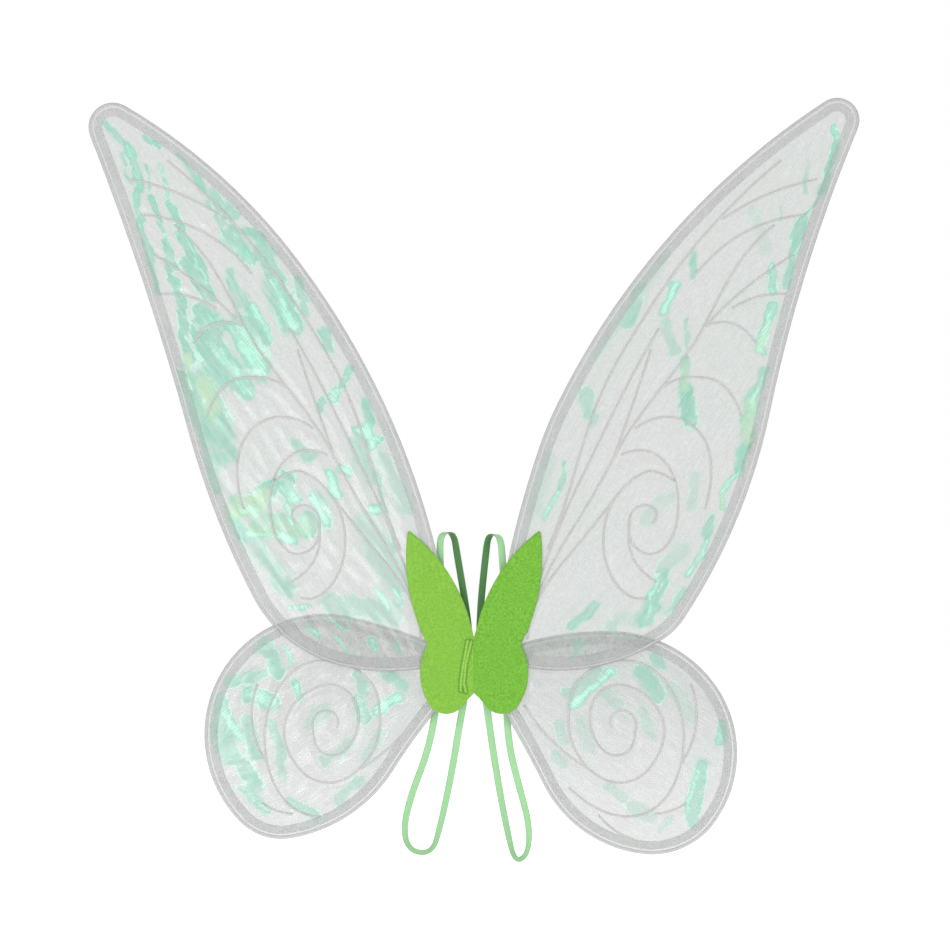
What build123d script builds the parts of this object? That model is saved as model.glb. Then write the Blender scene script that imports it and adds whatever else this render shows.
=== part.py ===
"""Fairy wings: four film wings on bent wire frames, a felt cover at their roots, two elastic arm loops.

Millimetres. X runs across the wings, +Z is up and -Y is forward, the way the decorated faces look.
The origin lies on the back cover's rear face, which rests against the wearer, at the wings' roots.
Depths are measured forward from that face. Wings are drawn on the +X side and mirrored for the other side.
"""

import os
from collections import namedtuple
from math import copysign, cos, radians, sin, tan

from build123d import *

# Wire frames, and the hems folded over them
wire_diameter = 2.0
channel_clearance = 0.15
channel_wall = 0.45
edge_margin = 0.6
hem_width = 12.0
hem_thickness = 1.4

# Wing sheets: an outer film, a mesh behind it, and the raised veins on its face
film_thickness = 0.3
mesh_thickness = 0.3
film_tuck = 0.7
vein_width = 1.8
vein_height = 0.4

# Wings: hub to tip across the upper pair, and hub to the far edge across the lower pair
upper_wing_length = 597.0
upper_drawn_length = 597.0
lower_wing_length = 245.0
lower_drawn_length = 245.0
wing_gap = 0.4

# Hub: where the wings leave their bindings, and the fold line of each side
root_line = 18.0
fold_line = 4.0
fold_gap = 0.3
root_binding_height = 54.0
root_binding_middle = -7.0
centre_binding_height = 46.0
centre_binding_middle = -9.0
binding_skin = 0.5
swing_clearance = 0.4

# Felt
back_cover_thickness = 1.5
back_cover_width = 40.0
back_cover_height = 48.0
back_cover_middle = -8.0
back_cover_corner = 14.0
front_cover_thickness = 1.6

# Front cover, one half: its corners (x, z), and the middle of each curved edge between them
cover_neck_height = 33.0
cover_inner_bow = (21.0, 71.0)
cover_tip = (59.5, 113.0)
cover_tip_radius = 1.6
cover_outer_bow = (60.0, 68.0)
cover_waist = (42.0, 9.5)
cover_hip = (48.5, -20.0)
cover_heel = (39.0, -46.0)
cover_foot = (25.0, -52.5)
cover_toe = (11.0, -46.0)
cover_seam_foot = -38.0

# Fold strip between the halves, notched above and below
fold_side_height = 30.0
fold_notch_height = 16.0
fold_notch_foot = -34.0

# Elastic arm loops
strap_width = 6.3
strap_thickness = 1.0
tack_length = 3.6
tack_step = 2.5
tack_width = 0.9
tack_height = 0.3

# Depths from the back face, each layer in front of the last
wire_radius = wire_diameter / 2
channel_radius = wire_radius + channel_clearance
tube_radius = channel_radius + channel_wall
wire_inset = edge_margin + tube_radius
film_inset = wire_inset + tube_radius + film_tuck
strap_depth = back_cover_thickness + strap_thickness / 2
hub_depth = back_cover_thickness + strap_thickness
swing_depth = hub_depth + tack_height + swing_clearance
lower_depth = swing_depth + binding_skin + tube_radius
upper_depth = lower_depth + 2 * tube_radius + wing_gap
cover_depth = upper_depth + tube_radius + fold_gap
fold_side = fold_line - fold_gap

Wing = namedtuple("Wing", "name side depth scale start heading arcs veins")

# Veins as points (x, z) on smooth lines, from one end to the other
UPPER_VEINS = (
    ((276, 445), (227, 400), (185, 351), (144, 290), (123, 254), (102, 203), (86, 150), (66, 95)),
    ((166, 294), (132, 232), (106, 179), (80, 124), (57, 60)),
    ((159, 275), (138, 213), (127, 182)),
    ((270, 387), (221, 324), (198, 281), (170, 243), (136, 196), (107, 144), (76, 93), (50, 30)),
    ((208, 296), (249, 334), (287, 360)),
    ((223, 392), (268, 416), (308, 428)),
    ((200, 343), (236, 376), (297, 396)),
    ((232, 312), (263, 324), (287, 324)),
    ((208, 296), (229, 299), (253, 281)),
    ((167, 239), (183, 248), (202, 250), (219, 246), (232, 233), (240, 215)),
    ((145, 204), (160, 212), (179, 214), (194, 208), (205, 197), (213, 170), (207, 131)),
    ((158, 166), (141, 157), (124, 138), (92, 98), (61, 57), (48, 15)),
    ((131, 147), (122, 133), (117, 115), (117, 90), (127, 65), (140, 53), (156, 52)),
    (
        (132, 180), (144, 184), (158, 183), (172, 173), (182, 152), (183, 127), (176, 103), (160, 91),
        (146, 96), (139, 119), (144, 131), (154, 135), (163, 130), (160, 119),
    ),
    ((140, 119), (143, 87), (164, 66)),
    ((158, 166), (169, 163), (179, 157)),
)
LOWER_VEINS = (
    (
        (124, -65), (124, -55), (132, -50), (143, -55), (145, -71), (138, -87), (124, -90), (110, -78),
        (104, -56), (110, -37), (126, -27), (144, -30), (162, -44), (171, -65), (164, -93), (145, -112),
        (123, -114), (102, -101), (88, -79), (85, -53), (92, -26), (110, -11), (132, -5), (154, -9),
        (177, -31), (188, -62), (186, -98), (172, -129), (155, -142), (132, -145), (107, -136), (85, -119),
    ),
    ((45, -45), (75, -82), (107, -105)),
    ((195, -26), (200, -62), (186, -98)),
    ((163, -143), (178, -140), (191, -133)),
    ((112, -144), (130, -160), (155, -169)),
)

upper_scale = upper_wing_length / upper_drawn_length
lower_scale = lower_wing_length / lower_drawn_length
upper_start = (8.0, 8.0)
lower_start = (8.0, -2.0)

# Each edge leaves the hub along its top, turns in arcs of (radius, degrees), and comes back below.
# The first and the last arc lie at the root, where only the wire goes on into its binding.
WINGS = (
    Wing(
        "right_upper", "right", upper_depth, upper_scale, upper_start, 16.3,
        (
            (15, 65.6), (920, -10.6), (335, -7.6), (692, -15.3), (682, -15.3), (20, -145.7),
            (1423, 10.8), (531, -21.8), (61, -21.8), (168, -54.8), (168, -4.3),
        ),
        UPPER_VEINS,
    ),
    Wing(
        "left_upper", "left", upper_depth, upper_scale, upper_start, 19.5,
        (
            (16, 60.8), (965, -5.4), (719, -22.6), (527, -21.9), (22, -141.9),
            (2580, 6.2), (760, -12.1), (122, -51.8), (196, -27.9), (196, -3.7),
        ),
        UPPER_VEINS,
    ),
    Wing(
        "right_lower", "right", lower_depth, lower_scale, lower_start, 24.2,
        (
            (268, -2.4), (268, -23.7), (116, -50.7), (106, -73.5), (70, -60.6), (115, -56.9),
            (1033, 5.0), (1033, 1.1),
        ),
        LOWER_VEINS,
    ),
    Wing(
        "left_lower", "left", lower_depth, lower_scale, lower_start, 25.9,
        (
            (490, -1.4), (490, -11.3), (108, -92.7), (112, -55.0), (52, -54.7), (135, -48.7),
            (515, 10.0), (515, 1.7),
        ),
        LOWER_VEINS,
    ),
)

# Each loop is sewn down at both ends: up from the hub, over, down outside, under, and up again
LEFT_STRAP_ROUTE = (
    (-5.5, -6), (-4.6, 20), (-9.5, 56), (-15, 88), (-18.5, 110.5), (-30.3, 110), (-31, 90),
    (-29, 55), (-31.5, 5), (-33.5, -46), (-42, -88), (-57.5, -128), (-64, -158), (-58, -177),
    (-38, -179.5), (-30.5, -155), (-20.5, -108), (-13, -62), (-8.5, -38), (-6, -16),
)
RIGHT_STRAP_ROUTE = (
    (5.5, -6), (4.8, 20), (6.5, 52), (10.2, 88), (12.8, 109), (23.5, 108), (25.5, 88),
    (27.5, 52), (27, 4), (29, -48), (31.5, -84), (41.5, -122), (50, -154), (48.5, -180),
    (36.8, -187.5), (30.5, -162), (22, -118), (14, -66), (10.5, -38), (7, -16),
)
arc_share = 0.45
vein_steps = 3


def save(piece, name):
    """Label a finished piece and write its STEP file."""
    piece.part.label = name
    export_step(piece.part, f"parts/{name}.step")


def save_side(piece, name, side):
    """Save a piece that was drawn on the right, mirrored if it belongs on the left."""
    with BuildPart() as placed:
        add(piece.part)
        if side == "left":
            mirror(about=Plane.YZ, mode=Mode.REPLACE)
    save(placed, name)


def edge_arcs(wing, inset):
    """One wing's edge, moved inward, as arcs that run on from each other: (start, heading, radius, turn)."""
    point = Vector(*wing.start)
    heading = wing.heading
    arcs = []
    last = len(wing.arcs) - 1
    for index, (drawn_radius, turn) in enumerate(wing.arcs):
        radius = drawn_radius * (wing.scale if 0 < index < last else 1)
        ahead = Vector(cos(radians(heading)), sin(radians(heading)))
        inward = Vector(ahead.Y, -ahead.X)
        start = point + inward * inset
        arcs.append(((start.X, start.Y), (ahead.X, ahead.Y), radius + copysign(inset, turn), turn))
        centre = point - inward * copysign(radius, turn)
        point = centre + (point - centre).rotate(Axis.Z, turn)
        heading += turn
    return arcs


def draw_sheet(wing, inset):
    """Draw the closed outline of a wing's sheet, clear of the root."""
    arcs = edge_arcs(wing, inset)
    for arc in arcs[1:-1]:
        JernArc(*arc)
    Line(arcs[-1][0], arcs[1][0])


def draw_vein(points):
    """Draw the closed outline of a vein whose middle line runs through the points."""
    with BuildLine(Plane.XY, mode=Mode.PRIVATE) as middle:
        Spline(*points)
    steps = vein_steps * (len(points) - 1)
    near_side = []
    far_side = []
    for step in range(steps + 1):
        place = middle.line @ (step / steps)
        across = (middle.line % (step / steps)).rotate(Axis.Z, 90) * vein_width / 2
        near_side.append(place + across)
        far_side.append(place - across)
    Spline(*near_side)
    Line(near_side[-1], far_side[-1])
    Spline(*far_side)
    Line(far_side[0], near_side[0])


def build_wing(wing):
    """One wing: its wire, hem, film, mesh and veins."""
    flat = Plane.XZ.offset(wing.depth)
    film_back = (film_thickness + mesh_thickness) / 2 - film_thickness
    mesh_back = film_back - mesh_thickness
    wire_arcs = edge_arcs(wing, wire_inset)

    with BuildLine(flat) as wire_line:
        for arc in wire_arcs:
            JernArc(*arc)
    wire_end = Plane(origin=wire_line.line @ 0, z_dir=wire_line.line % 0)
    with BuildPart() as wire:
        with BuildSketch(wire_end):
            Circle(wire_radius)
        sweep(path=wire_line.line)
    save_side(wire, f"{wing.name}_wire", wing.side)

    for layer, back, thickness in (
        ("film", film_back, film_thickness),
        ("mesh", mesh_back, mesh_thickness),
    ):
        with BuildPart() as sheet:
            with BuildSketch(flat.offset(back)):
                with BuildLine():
                    draw_sheet(wing, film_inset)
                make_face()
            extrude(amount=thickness)
        save_side(sheet, f"{wing.name}_{layer}", wing.side)

    with BuildLine(flat) as hem_line:
        for arc in wire_arcs[1:-1]:
            JernArc(*arc)
    hem_end = Plane(origin=hem_line.line @ 0, z_dir=hem_line.line % 0)
    with BuildPart() as hem:
        with BuildSketch(flat):
            with BuildLine():
                draw_sheet(wing, 0)
            make_face()
            with BuildLine():
                draw_sheet(wing, hem_width)
            make_face(mode=Mode.SUBTRACT)
        extrude(amount=hem_thickness / 2, both=True)
        with BuildSketch(hem_end):
            Circle(tube_radius)
        sweep(path=hem_line.line)
        with BuildSketch(flat.offset(mesh_back)):
            with BuildLine():
                draw_sheet(wing, film_inset)
            make_face()
        extrude(amount=film_thickness + mesh_thickness, mode=Mode.SUBTRACT)
        with BuildSketch(wire_end):
            Circle(channel_radius)
        sweep(path=wire_line.line, mode=Mode.SUBTRACT)
    save_side(hem, f"{wing.name}_hem", wing.side)

    film_front = flat.offset(film_back + film_thickness)
    with BuildPart() as veins:
        for vein in wing.veins:
            with BuildSketch(film_front):
                with BuildLine():
                    draw_vein([(x * wing.scale, z * wing.scale) for x, z in vein])
                make_face()
            extrude(amount=vein_height)
        with BuildSketch(film_front):
            with BuildLine():
                draw_sheet(wing, hem_width + fold_gap)
            make_face()
        extrude(amount=vein_height, mode=Mode.INTERSECT)
    save_side(veins, f"{wing.name}_veins", wing.side)


def build_root_binding(side):
    """The taped block that grips both wires of one side where they reach the hub."""
    with BuildPart() as binding:
        with BuildSketch(Plane.XZ.offset(swing_depth)):
            with Locations(((fold_line + root_line) / 2, root_binding_middle)):
                Rectangle(root_line - fold_line - 2 * fold_gap, root_binding_height)
        extrude(amount=cover_depth - swing_depth)
        for wing in WINGS:
            if wing.side == side:
                with BuildLine(Plane.XZ.offset(wing.depth), mode=Mode.PRIVATE) as wire_line:
                    for arc in edge_arcs(wing, wire_inset):
                        JernArc(*arc)
                with BuildSketch(Plane(origin=wire_line.line @ 0, z_dir=wire_line.line % 0)):
                    Circle(wire_radius)
                sweep(path=wire_line.line, mode=Mode.SUBTRACT)
    save_side(binding, f"{side}_root_binding", side)


def build_front_cover(side):
    """Half of the felt cover, from the fold line out."""
    inner = fold_line + fold_gap
    with BuildPart() as cover:
        with BuildSketch(Plane.XZ.offset(cover_depth)):
            with BuildLine():
                ThreePointArc((inner, cover_neck_height), cover_inner_bow, cover_tip)
                ThreePointArc(cover_tip, cover_outer_bow, cover_waist)
                ThreePointArc(cover_waist, cover_hip, cover_heel)
                ThreePointArc(cover_heel, cover_foot, cover_toe)
                Line(cover_toe, (inner, cover_seam_foot))
                Line((inner, cover_seam_foot), (inner, cover_neck_height))
            face = make_face()
            fillet(face.vertices().sort_by(Axis.Y)[-1], radius=cover_tip_radius)
        extrude(amount=front_cover_thickness)
    save_side(cover, f"{side}_front_cover", side)


def build_strap(name, route):
    """An elastic band laid in one flat loop, with straight runs joined by arcs."""
    runs = [(Vector(*b) - Vector(*a)) for a, b in zip(route, route[1:])]
    radii = []
    for before, after in zip(runs, runs[1:]):
        turn = before.get_angle(after)
        radii.append(arc_share * min(before.length, after.length) / tan(radians(turn / 2)))
    with BuildLine(Plane.XZ.offset(strap_depth)) as path:
        FilletPolyline(*route, radius=radii)
    with BuildPart() as strap:
        with BuildSketch(Plane(origin=path.line @ 0, x_dir=(0, 1, 0), z_dir=path.line % 0)):
            Rectangle(strap_thickness, strap_width)
        sweep(path=path.line)
    save(strap, name)
    length = path.wire().length
    section = strap_width * strap_thickness
    print(name, "bend radii", [round(radius, 1) for radius in radii])
    print(name, "length", round(length, 1), "volume share", round(strap.part.volume / (length * section), 4))


os.makedirs("parts", exist_ok=True)

for wing in WINGS:
    build_wing(wing)
for side in ("left", "right"):
    build_root_binding(side)
    build_front_cover(side)
build_strap("left_strap", LEFT_STRAP_ROUTE)
build_strap("right_strap", RIGHT_STRAP_ROUTE)

with BuildPart() as back_cover:
    with BuildSketch(Plane.XZ):
        with Locations((0, back_cover_middle)):
            RectangleRounded(back_cover_width, back_cover_height, back_cover_corner)
    extrude(amount=back_cover_thickness)
save(back_cover, "back_cover")

with BuildPart() as strap_tacks:
    with BuildSketch(Plane.XZ.offset(hub_depth)):
        for route in (LEFT_STRAP_ROUTE, RIGHT_STRAP_ROUTE):
            for (x, z), inward in ((route[0], 1), (route[-1], -1)):
                tack_x = copysign(fold_line + tack_length / 2, x)
                with Locations((tack_x, z + inward * tack_step), (tack_x, z + 2 * inward * tack_step)):
                    Rectangle(tack_length, tack_width)
    extrude(amount=tack_height)
save(strap_tacks, "strap_tacks")

with BuildPart() as centre_binding:
    with BuildSketch(Plane.XZ.offset(hub_depth)):
        with Locations((0, centre_binding_middle)):
            Rectangle(2 * fold_side, centre_binding_height)
    extrude(amount=cover_depth - hub_depth)
save(centre_binding, "centre_binding")

with BuildPart() as cover_fold:
    with BuildSketch(Plane.XZ.offset(cover_depth)):
        with BuildLine():
            Polyline(
                (-fold_side, fold_side_height), (0, fold_notch_height), (fold_side, fold_side_height),
                (fold_side, cover_seam_foot), (0, fold_notch_foot), (-fold_side, cover_seam_foot),
                close=True,
            )
        make_face()
    extrude(amount=front_cover_thickness)
save(cover_fold, "front_cover_fold")
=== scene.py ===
import math

import bmesh
import bpy
import numpy as np
from bpy.props import FloatProperty, FloatVectorProperty, PointerProperty
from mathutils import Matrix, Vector, noise
from mathutils.bvhtree import BVHTree
from mathutils.geometry import delaunay_2d_cdt


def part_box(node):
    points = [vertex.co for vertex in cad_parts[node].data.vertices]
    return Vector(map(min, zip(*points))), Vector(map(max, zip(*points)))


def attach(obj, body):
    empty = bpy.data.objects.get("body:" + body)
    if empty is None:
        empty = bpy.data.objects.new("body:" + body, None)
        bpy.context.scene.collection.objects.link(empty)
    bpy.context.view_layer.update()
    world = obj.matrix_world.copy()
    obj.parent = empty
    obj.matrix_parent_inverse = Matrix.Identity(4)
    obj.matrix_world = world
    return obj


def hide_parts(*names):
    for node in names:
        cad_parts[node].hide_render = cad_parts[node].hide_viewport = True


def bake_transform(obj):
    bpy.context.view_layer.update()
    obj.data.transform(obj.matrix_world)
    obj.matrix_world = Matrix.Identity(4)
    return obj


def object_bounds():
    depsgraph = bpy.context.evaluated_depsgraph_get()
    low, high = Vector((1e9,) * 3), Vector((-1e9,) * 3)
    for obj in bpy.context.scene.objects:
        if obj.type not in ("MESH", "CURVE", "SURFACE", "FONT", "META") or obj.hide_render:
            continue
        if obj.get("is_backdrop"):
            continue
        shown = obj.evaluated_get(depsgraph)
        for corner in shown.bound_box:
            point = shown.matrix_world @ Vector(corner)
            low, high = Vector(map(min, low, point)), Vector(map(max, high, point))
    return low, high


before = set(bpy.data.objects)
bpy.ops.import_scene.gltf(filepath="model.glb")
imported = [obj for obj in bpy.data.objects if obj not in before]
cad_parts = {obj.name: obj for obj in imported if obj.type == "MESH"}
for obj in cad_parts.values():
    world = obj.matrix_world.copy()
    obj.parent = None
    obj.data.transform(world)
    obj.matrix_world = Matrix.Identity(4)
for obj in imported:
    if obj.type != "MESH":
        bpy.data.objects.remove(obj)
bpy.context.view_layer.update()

bl_info = {
    "name": "Fairy Wings",
    "version": (1, 0, 0),
    "blender": (4, 5, 0),
    "location": "3D View > Sidebar > Fairy Wings",
    "description": "Film, mesh, veins, hems, felt and elastic for a pair of costume fairy wings",
    "category": "Add Mesh",
}

WINGS = ("left_upper", "right_upper", "left_lower", "right_lower")
WING_BODY = {
    "left_upper": "left_wings",
    "left_lower": "left_wings",
    "right_upper": "right_wings",
    "right_lower": "right_wings",
}
SIDES = ("left", "right")

# Sizes that belong to how the pieces are made, in metres
HEM_OUT = 0.0045
HEM_WIDTH_DRAWN = 0.012
HEM_FOLD_SPACING = 0.0011
SHEET_HALF = 0.0003
MOIRE_SPACING = 0.0037
SHEEN_DRIFT = 3.2
VEIN_ROUNDING = 0.0003
BAND_RIB_SPACING = 0.0009
BAND_PICK_SPACING = 0.0007
SAME_POINT = 1e-5
SAME_CORNER = 2e-6
FULL_TURN = 2 * math.pi

# Threads in a metre of each cloth
HEM_THREADS = 520
MESH_THREADS = 620
TAPE_THREADS = 900

# How much of the clear colour the lower wings' film keeps
LOWER_FILM_SHADE = 0.62

# The stitches' sections along and round the thread
TACK_STEPS = 12
TACK_SIDES = 10

# Where each wing's long axis starts and ends, (x, z) in metres
WING_AXES = {
    "left_upper": ((-0.03, 0.03), (-0.325, 0.48)),
    "right_upper": ((0.03, 0.03), (0.33, 0.485)),
    "left_lower": ((-0.03, -0.02), (-0.2, -0.12)),
    "right_lower": ((0.03, -0.02), (0.2, -0.13)),
}

# Patches of painted iridescent reflection, where the film shows a mint sheen, in millimetres: from (x, z) to
# (x, z), half width, strength, glint (painted highlight) and warm tint (painted yellow-green reflection)
LEFT_UPPER_SHEEN = (
    (-332, 479, -312, 457, 4, 1, 0.2, 0), (-312, 457, -303, 435, 5, 1, 0.7, 0),
    (-303, 435, -303, 401, 4.5, 1, 0.6, 0), (-303, 401, -291, 352, 4, 1, 0.5, 0),
    (-318, 452, -309, 425, 2, 0.9, 0.3, 0), (-291, 352, -282, 325, 2.5, 0.9, 0.2, 0),
    (-294, 441, -292, 419, 2, 1, 0.4, 0), (-290, 412, -278, 374, 3.5, 1, 0.4, 0),
    (-278, 374, -271, 347, 5, 1, 0.2, 0), (-271, 338, -262, 316, 6, 1, 0.3, 0),
    (-265, 311, -256, 264, 5, 1, 0.2, 0), (-283, 441, -274, 410, 2, 1, 0.9, 0),
    (-274, 405, -262, 383, 5, 1, 0.4, 0), (-262, 383, -240, 334, 2.5, 1, 0.9, 0),
    (-260, 374, -245, 347, 6, 1, 0.2, 0), (-256, 354, -238, 323, 8, 1, 0.2, 0),
    (-245, 311, -229, 294, 9, 1, 0.5, 0), (-243, 294, -229, 251, 15, 1, 0.2, 0),
    (-220, 343, -211, 316, 5, 0.9, 0.2, 0), (-206, 320, -186, 284, 6, 1, 0.5, 0),
    (-211, 296, -193, 258, 13, 1, 1, 0), (-198, 314, -182, 284, 4, 1, 1, 0),
    (-229, 271, -207, 244, 12, 1, 0.7, 0), (-180, 334, -164, 298, 12, 1, 0.7, 0),
    (-174, 318, -164, 296, 6, 1, 1, 0.2), (-191, 365, -175, 338, 9, 0.9, 0.5, 0),
    (-220, 379, -202, 356, 9, 1, 0.6, 0), (-207, 383, -191, 374, 5, 1, 0.3, 0),
    (-236, 414, -216, 397, 6, 0.9, 0.4, 0), (-238, 408, -226, 388, 5, 0.8, 0.3, 0),
    (-267, 450, -245, 421, 3, 1, 0.3, 0), (-248, 430, -243, 418, 4, 1, 0.2, 0),
    (-296, 467, -283, 457, 3, 1, 0.4, 0), (-160, 338, -151, 309, 5, 0.8, 0.3, 0),
    (-256, 244, -240, 215, 18, 1, 0.1, 0.4), (-236, 226, -224, 182, 13, 0.9, 0.1, 0.2),
    (-238, 195, -232, 150, 9, 0.8, 0.1, 0), (-214, 250, -205, 236, 8, 0.9, 0.8, 0),
    (-259, 268, -257, 260, 5, 1, 0.6, 1), (-242, 244, -235, 222, 9, 1, 0.2, 1),
    (-259, 252, -255, 238, 2.5, 1, 1, 0.2), (-135, 290, -131, 276, 7, 0.9, 0.4, 0),
    (-111, 257, -118, 243, 5, 1, 0.7, 0), (-124, 238, -127, 231, 6, 1, 1, 0),
    (-136, 229, -138, 220, 5, 0.8, 0.1, 0), (-97, 230, -95, 205, 5, 1, 0.3, 0),
    (-104, 202, -86, 194, 6, 1, 1, 0), (-96, 205, -91, 190, 6, 1, 1, 0),
    (-104, 190, -93, 160, 9, 0.7, 0.1, 0), (-121, 168, -111, 166, 4, 1, 1, 0),
    (-131, 163, -122, 143, 6, 1, 1, 0), (-144, 142, -132, 122, 7, 1, 1, 0),
    (-160, 188, -148, 178, 6, 0.8, 0.1, 0), (-88, 165, -82, 136, 3, 1, 0.8, 0),
    (-93, 133, -80, 131, 4, 1, 1, 0), (-81, 178, -60, 130, 7, 0.55, 0.1, 0),
    (-99, 120, -70, 66, 13, 0.6, 0.1, 0), (-74, 112, -71, 96, 3, 0.9, 0.5, 0),
    (-88, 62, -78, 42, 3, 0.8, 0.8, 0), (-72, 58, -66, 46, 4, 0.9, 1, 0),
    (-130, 47, -72, 38, 11, 0.65, 0.1, 0), (-166, 42, -146, 43, 2.5, 1, 1, 0),
    (-214, 131, -190, 140, 11, 1, 0.3, 1), (-190, 146, -168, 158, 9, 1, 0.4, 0.1),
    (-206, 131, -198, 130, 7, 1, 1, 0.9), (-171, 151, -162, 139, 7, 1, 0.9, 0),
    (-193, 116, -150, 116, 12, 1, 0.2, 0.6), (-202, 110, -160, 104, 4, 1, 1, 0.4),
    (-169, 136, -165, 122, 4, 1, 1, 0.6), (-152, 124, -148, 110, 7, 1, 0.4, 0.3),
    (-216, 122, -209, 108, 6, 1, 0.6, 0), (-202, 104, -166, 60, 10, 0.45, 0, 0),
    (-180, 74, -169, 60, 8, 0.8, 0.2, 0), (-189, 96, -187, 86, 3, 0.9, 0.6, 0),
    (-150, 24, -140, 19, 4, 0.7, 0.8, 0), (-135, 34, -113, 22, 1.6, 0.8, 1, 0),
    (-126, 17, -112, 1, 1.6, 0.8, 1, 0), (-93, 14, -90, 5, 4, 0.8, 0.8, 0),
    (-68, 9, -66, 4, 4, 0.6, 0.4, 0), (-252, 215, -232, 160, 5, 0.9, 0.2, 0),
)
RIGHT_UPPER_SHEEN = (
    (324, 477, 326, 464, 3, 1, 0.8, 0), (325, 460, 312, 415, 4.5, 1, 0.5, 0),
    (308, 409, 291, 388, 2.5, 0.9, 0.3, 0), (297, 394, 287, 364, 5.5, 1, 0.3, 0),
    (285, 360, 280, 332, 4.5, 0.9, 0.3, 0), (267, 347, 268, 328, 4.5, 1, 0.8, 0),
    (268, 317, 264, 300, 5, 1, 0.7, 0.3), (264, 300, 257, 275, 5, 1, 1, 0.6),
    (261, 256, 249, 225, 5, 1, 0.6, 0), (249, 225, 245, 196, 8, 1, 0.5, 0.7),
    (245, 196, 237, 168, 6, 1, 0.3, 0), (241, 167, 224, 149, 3.5, 1, 0.8, 0),
    (222, 146, 224, 132, 3.5, 1, 0.6, 1), (213, 123, 209, 110, 6, 0.9, 0.1, 0),
    (211, 104, 192, 74, 4, 1, 0.9, 0), (169, 70, 154, 30, 7, 1, 0.5, 0),
    (164, 68, 154, 32, 2.2, 1, 1, 0), (188, 60, 173, 38, 4, 0.9, 0.7, 0),
    (198, 364, 195, 339, 3.5, 0.9, 0.2, 0), (181, 332, 170, 309, 5, 1, 0.9, 0),
    (172, 298, 180, 272, 5, 0.6, 0, 0), (191, 300, 191, 275, 3, 0.7, 0, 0),
    (189, 264, 191, 240, 5.5, 1, 0.2, 0.6), (191, 236, 193, 211, 8, 1, 0.1, 0),
    (299, 443, 297, 417, 2.5, 0.9, 0.2, 0.6), (275, 405, 274, 390, 2.2, 0.6, 0, 0),
    (151, 326, 138, 298, 6, 0.8, 0, 0), (100, 237, 106, 213, 7, 0.7, 0, 0),
    (172, 360, 109, 270, 6, 0.35, 0, 0), (88, 26, 111, 45, 5, 0.9, 0.4, 0),
    (80, 172, 78, 148, 3.5, 0.9, 0.2, 0.5), (76, 146, 63, 123, 3.5, 0.9, 0.9, 0),
    (122, 28, 126, 26, 6, 0.5, 0, 0), (95, 11, 90, 0, 4, 0.6, 0.2, 0),
    (175, 142, 156, 123, 8, 0.4, 0, 0), (200, 162, 195, 135, 6, 0.45, 0, 0),
    (66, 176, 52, 130, 8, 0.35, 0, 0), (186, 96, 170, 78, 7, 0.5, 0, 0.4),
    (250, 400, 262, 365, 6, 0.3, 0, 0), (130, 34, 150, 30, 7, 0.35, 0, 0),
)
LEFT_LOWER_SHEEN = (
    (-190, 12, -176, -16, 8, 0.9, 0.4, 0), (-169, 6, -164, -10, 3, 1, 1, 0),
    (-222, -24, -190, -16, 6, 0.9, 0.3, 0), (-202, -35, -181, -43, 9, 1, 0.8, 0),
    (-160, -26, -157, -38, 5, 1, 0.9, 0), (-225, -52, -211, -73, 6, 1, 1, 0),
    (-230, -40, -222, -92, 9, 0.9, 0.2, 0), (-204, -60, -196, -90, 7, 0.8, 0.5, 0),
    (-104, -39, -99, -57, 6, 1, 0.6, 0), (-88, -52, -70, -38, 6, 1, 1, 0),
    (-106, -16, -98, -32, 6, 0.8, 0.2, 0), (-81, -14, -64, -27, 6, 0.9, 0.3, 0),
    (-216, -88, -196, -118, 8, 0.9, 0.4, 0), (-208, -122, -186, -140, 5, 0.9, 0.7, 0),
    (-176, -84, -172, -110, 6, 0.7, 0.2, 0), (-164, -132, -140, -146, 6, 0.8, 0.6, 0),
    (-134, -96, -112, -80, 7, 0.6, 0.2, 0), (-122, -130, -104, -112, 6, 0.7, 0.4, 0),
    (-96, -90, -84, -70, 6, 0.6, 0.3, 0), (-148, -62, -136, -50, 8, 0.5, 0.1, 0),
    (-184, -60, -178, -76, 5, 0.8, 0.4, 0), (-196, 4, -182, 10, 5, 0.8, 0.3, 0),
    (-236, -60, -232, -84, 4, 0.9, 0.6, 0), (-150, -160, -132, -156, 4, 0.7, 0.5, 0),
)
RIGHT_LOWER_SHEEN = (
    (88, -45, 124, -15, 5, 1, 1, 0), (84, -34, 112, -12, 6, 0.7, 0.1, 0),
    (152, -16, 166, -36, 9, 0.9, 0.2, 0), (163, -2, 166, -10, 5, 0.8, 0.5, 0),
    (223, -62, 222, -78, 5, 0.9, 0.6, 0), (205, -99, 195, -150, 7, 0.9, 0.3, 0),
    (201, -104, 192, -142, 2.5, 1, 0.9, 0), (77, -62, 80, -76, 6, 0.5, 0.2, 0),
    (120, -36, 130, -46, 7, 0.5, 0.1, 0), (73, -90, 80, -98, 5, 0.5, 0.3, 0),
    (142, -136, 158, -144, 7, 0.5, 0.2, 0), (134, -128, 122, -118, 6, 0.5, 0.2, 0),
    (180, -30, 196, -54, 8, 0.35, 0, 0), (176, -148, 168, -158, 4, 0.5, 0.5, 0),
    (96, -60, 104, -84, 6, 0.35, 0.1, 0), (150, -52, 160, -70, 6, 0.4, 0.1, 0),
)
SHEEN = {
    "left_upper": LEFT_UPPER_SHEEN,
    "right_upper": RIGHT_UPPER_SHEEN,
    "left_lower": LEFT_LOWER_SHEEN,
    "right_lower": RIGHT_LOWER_SHEEN,
}

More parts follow.
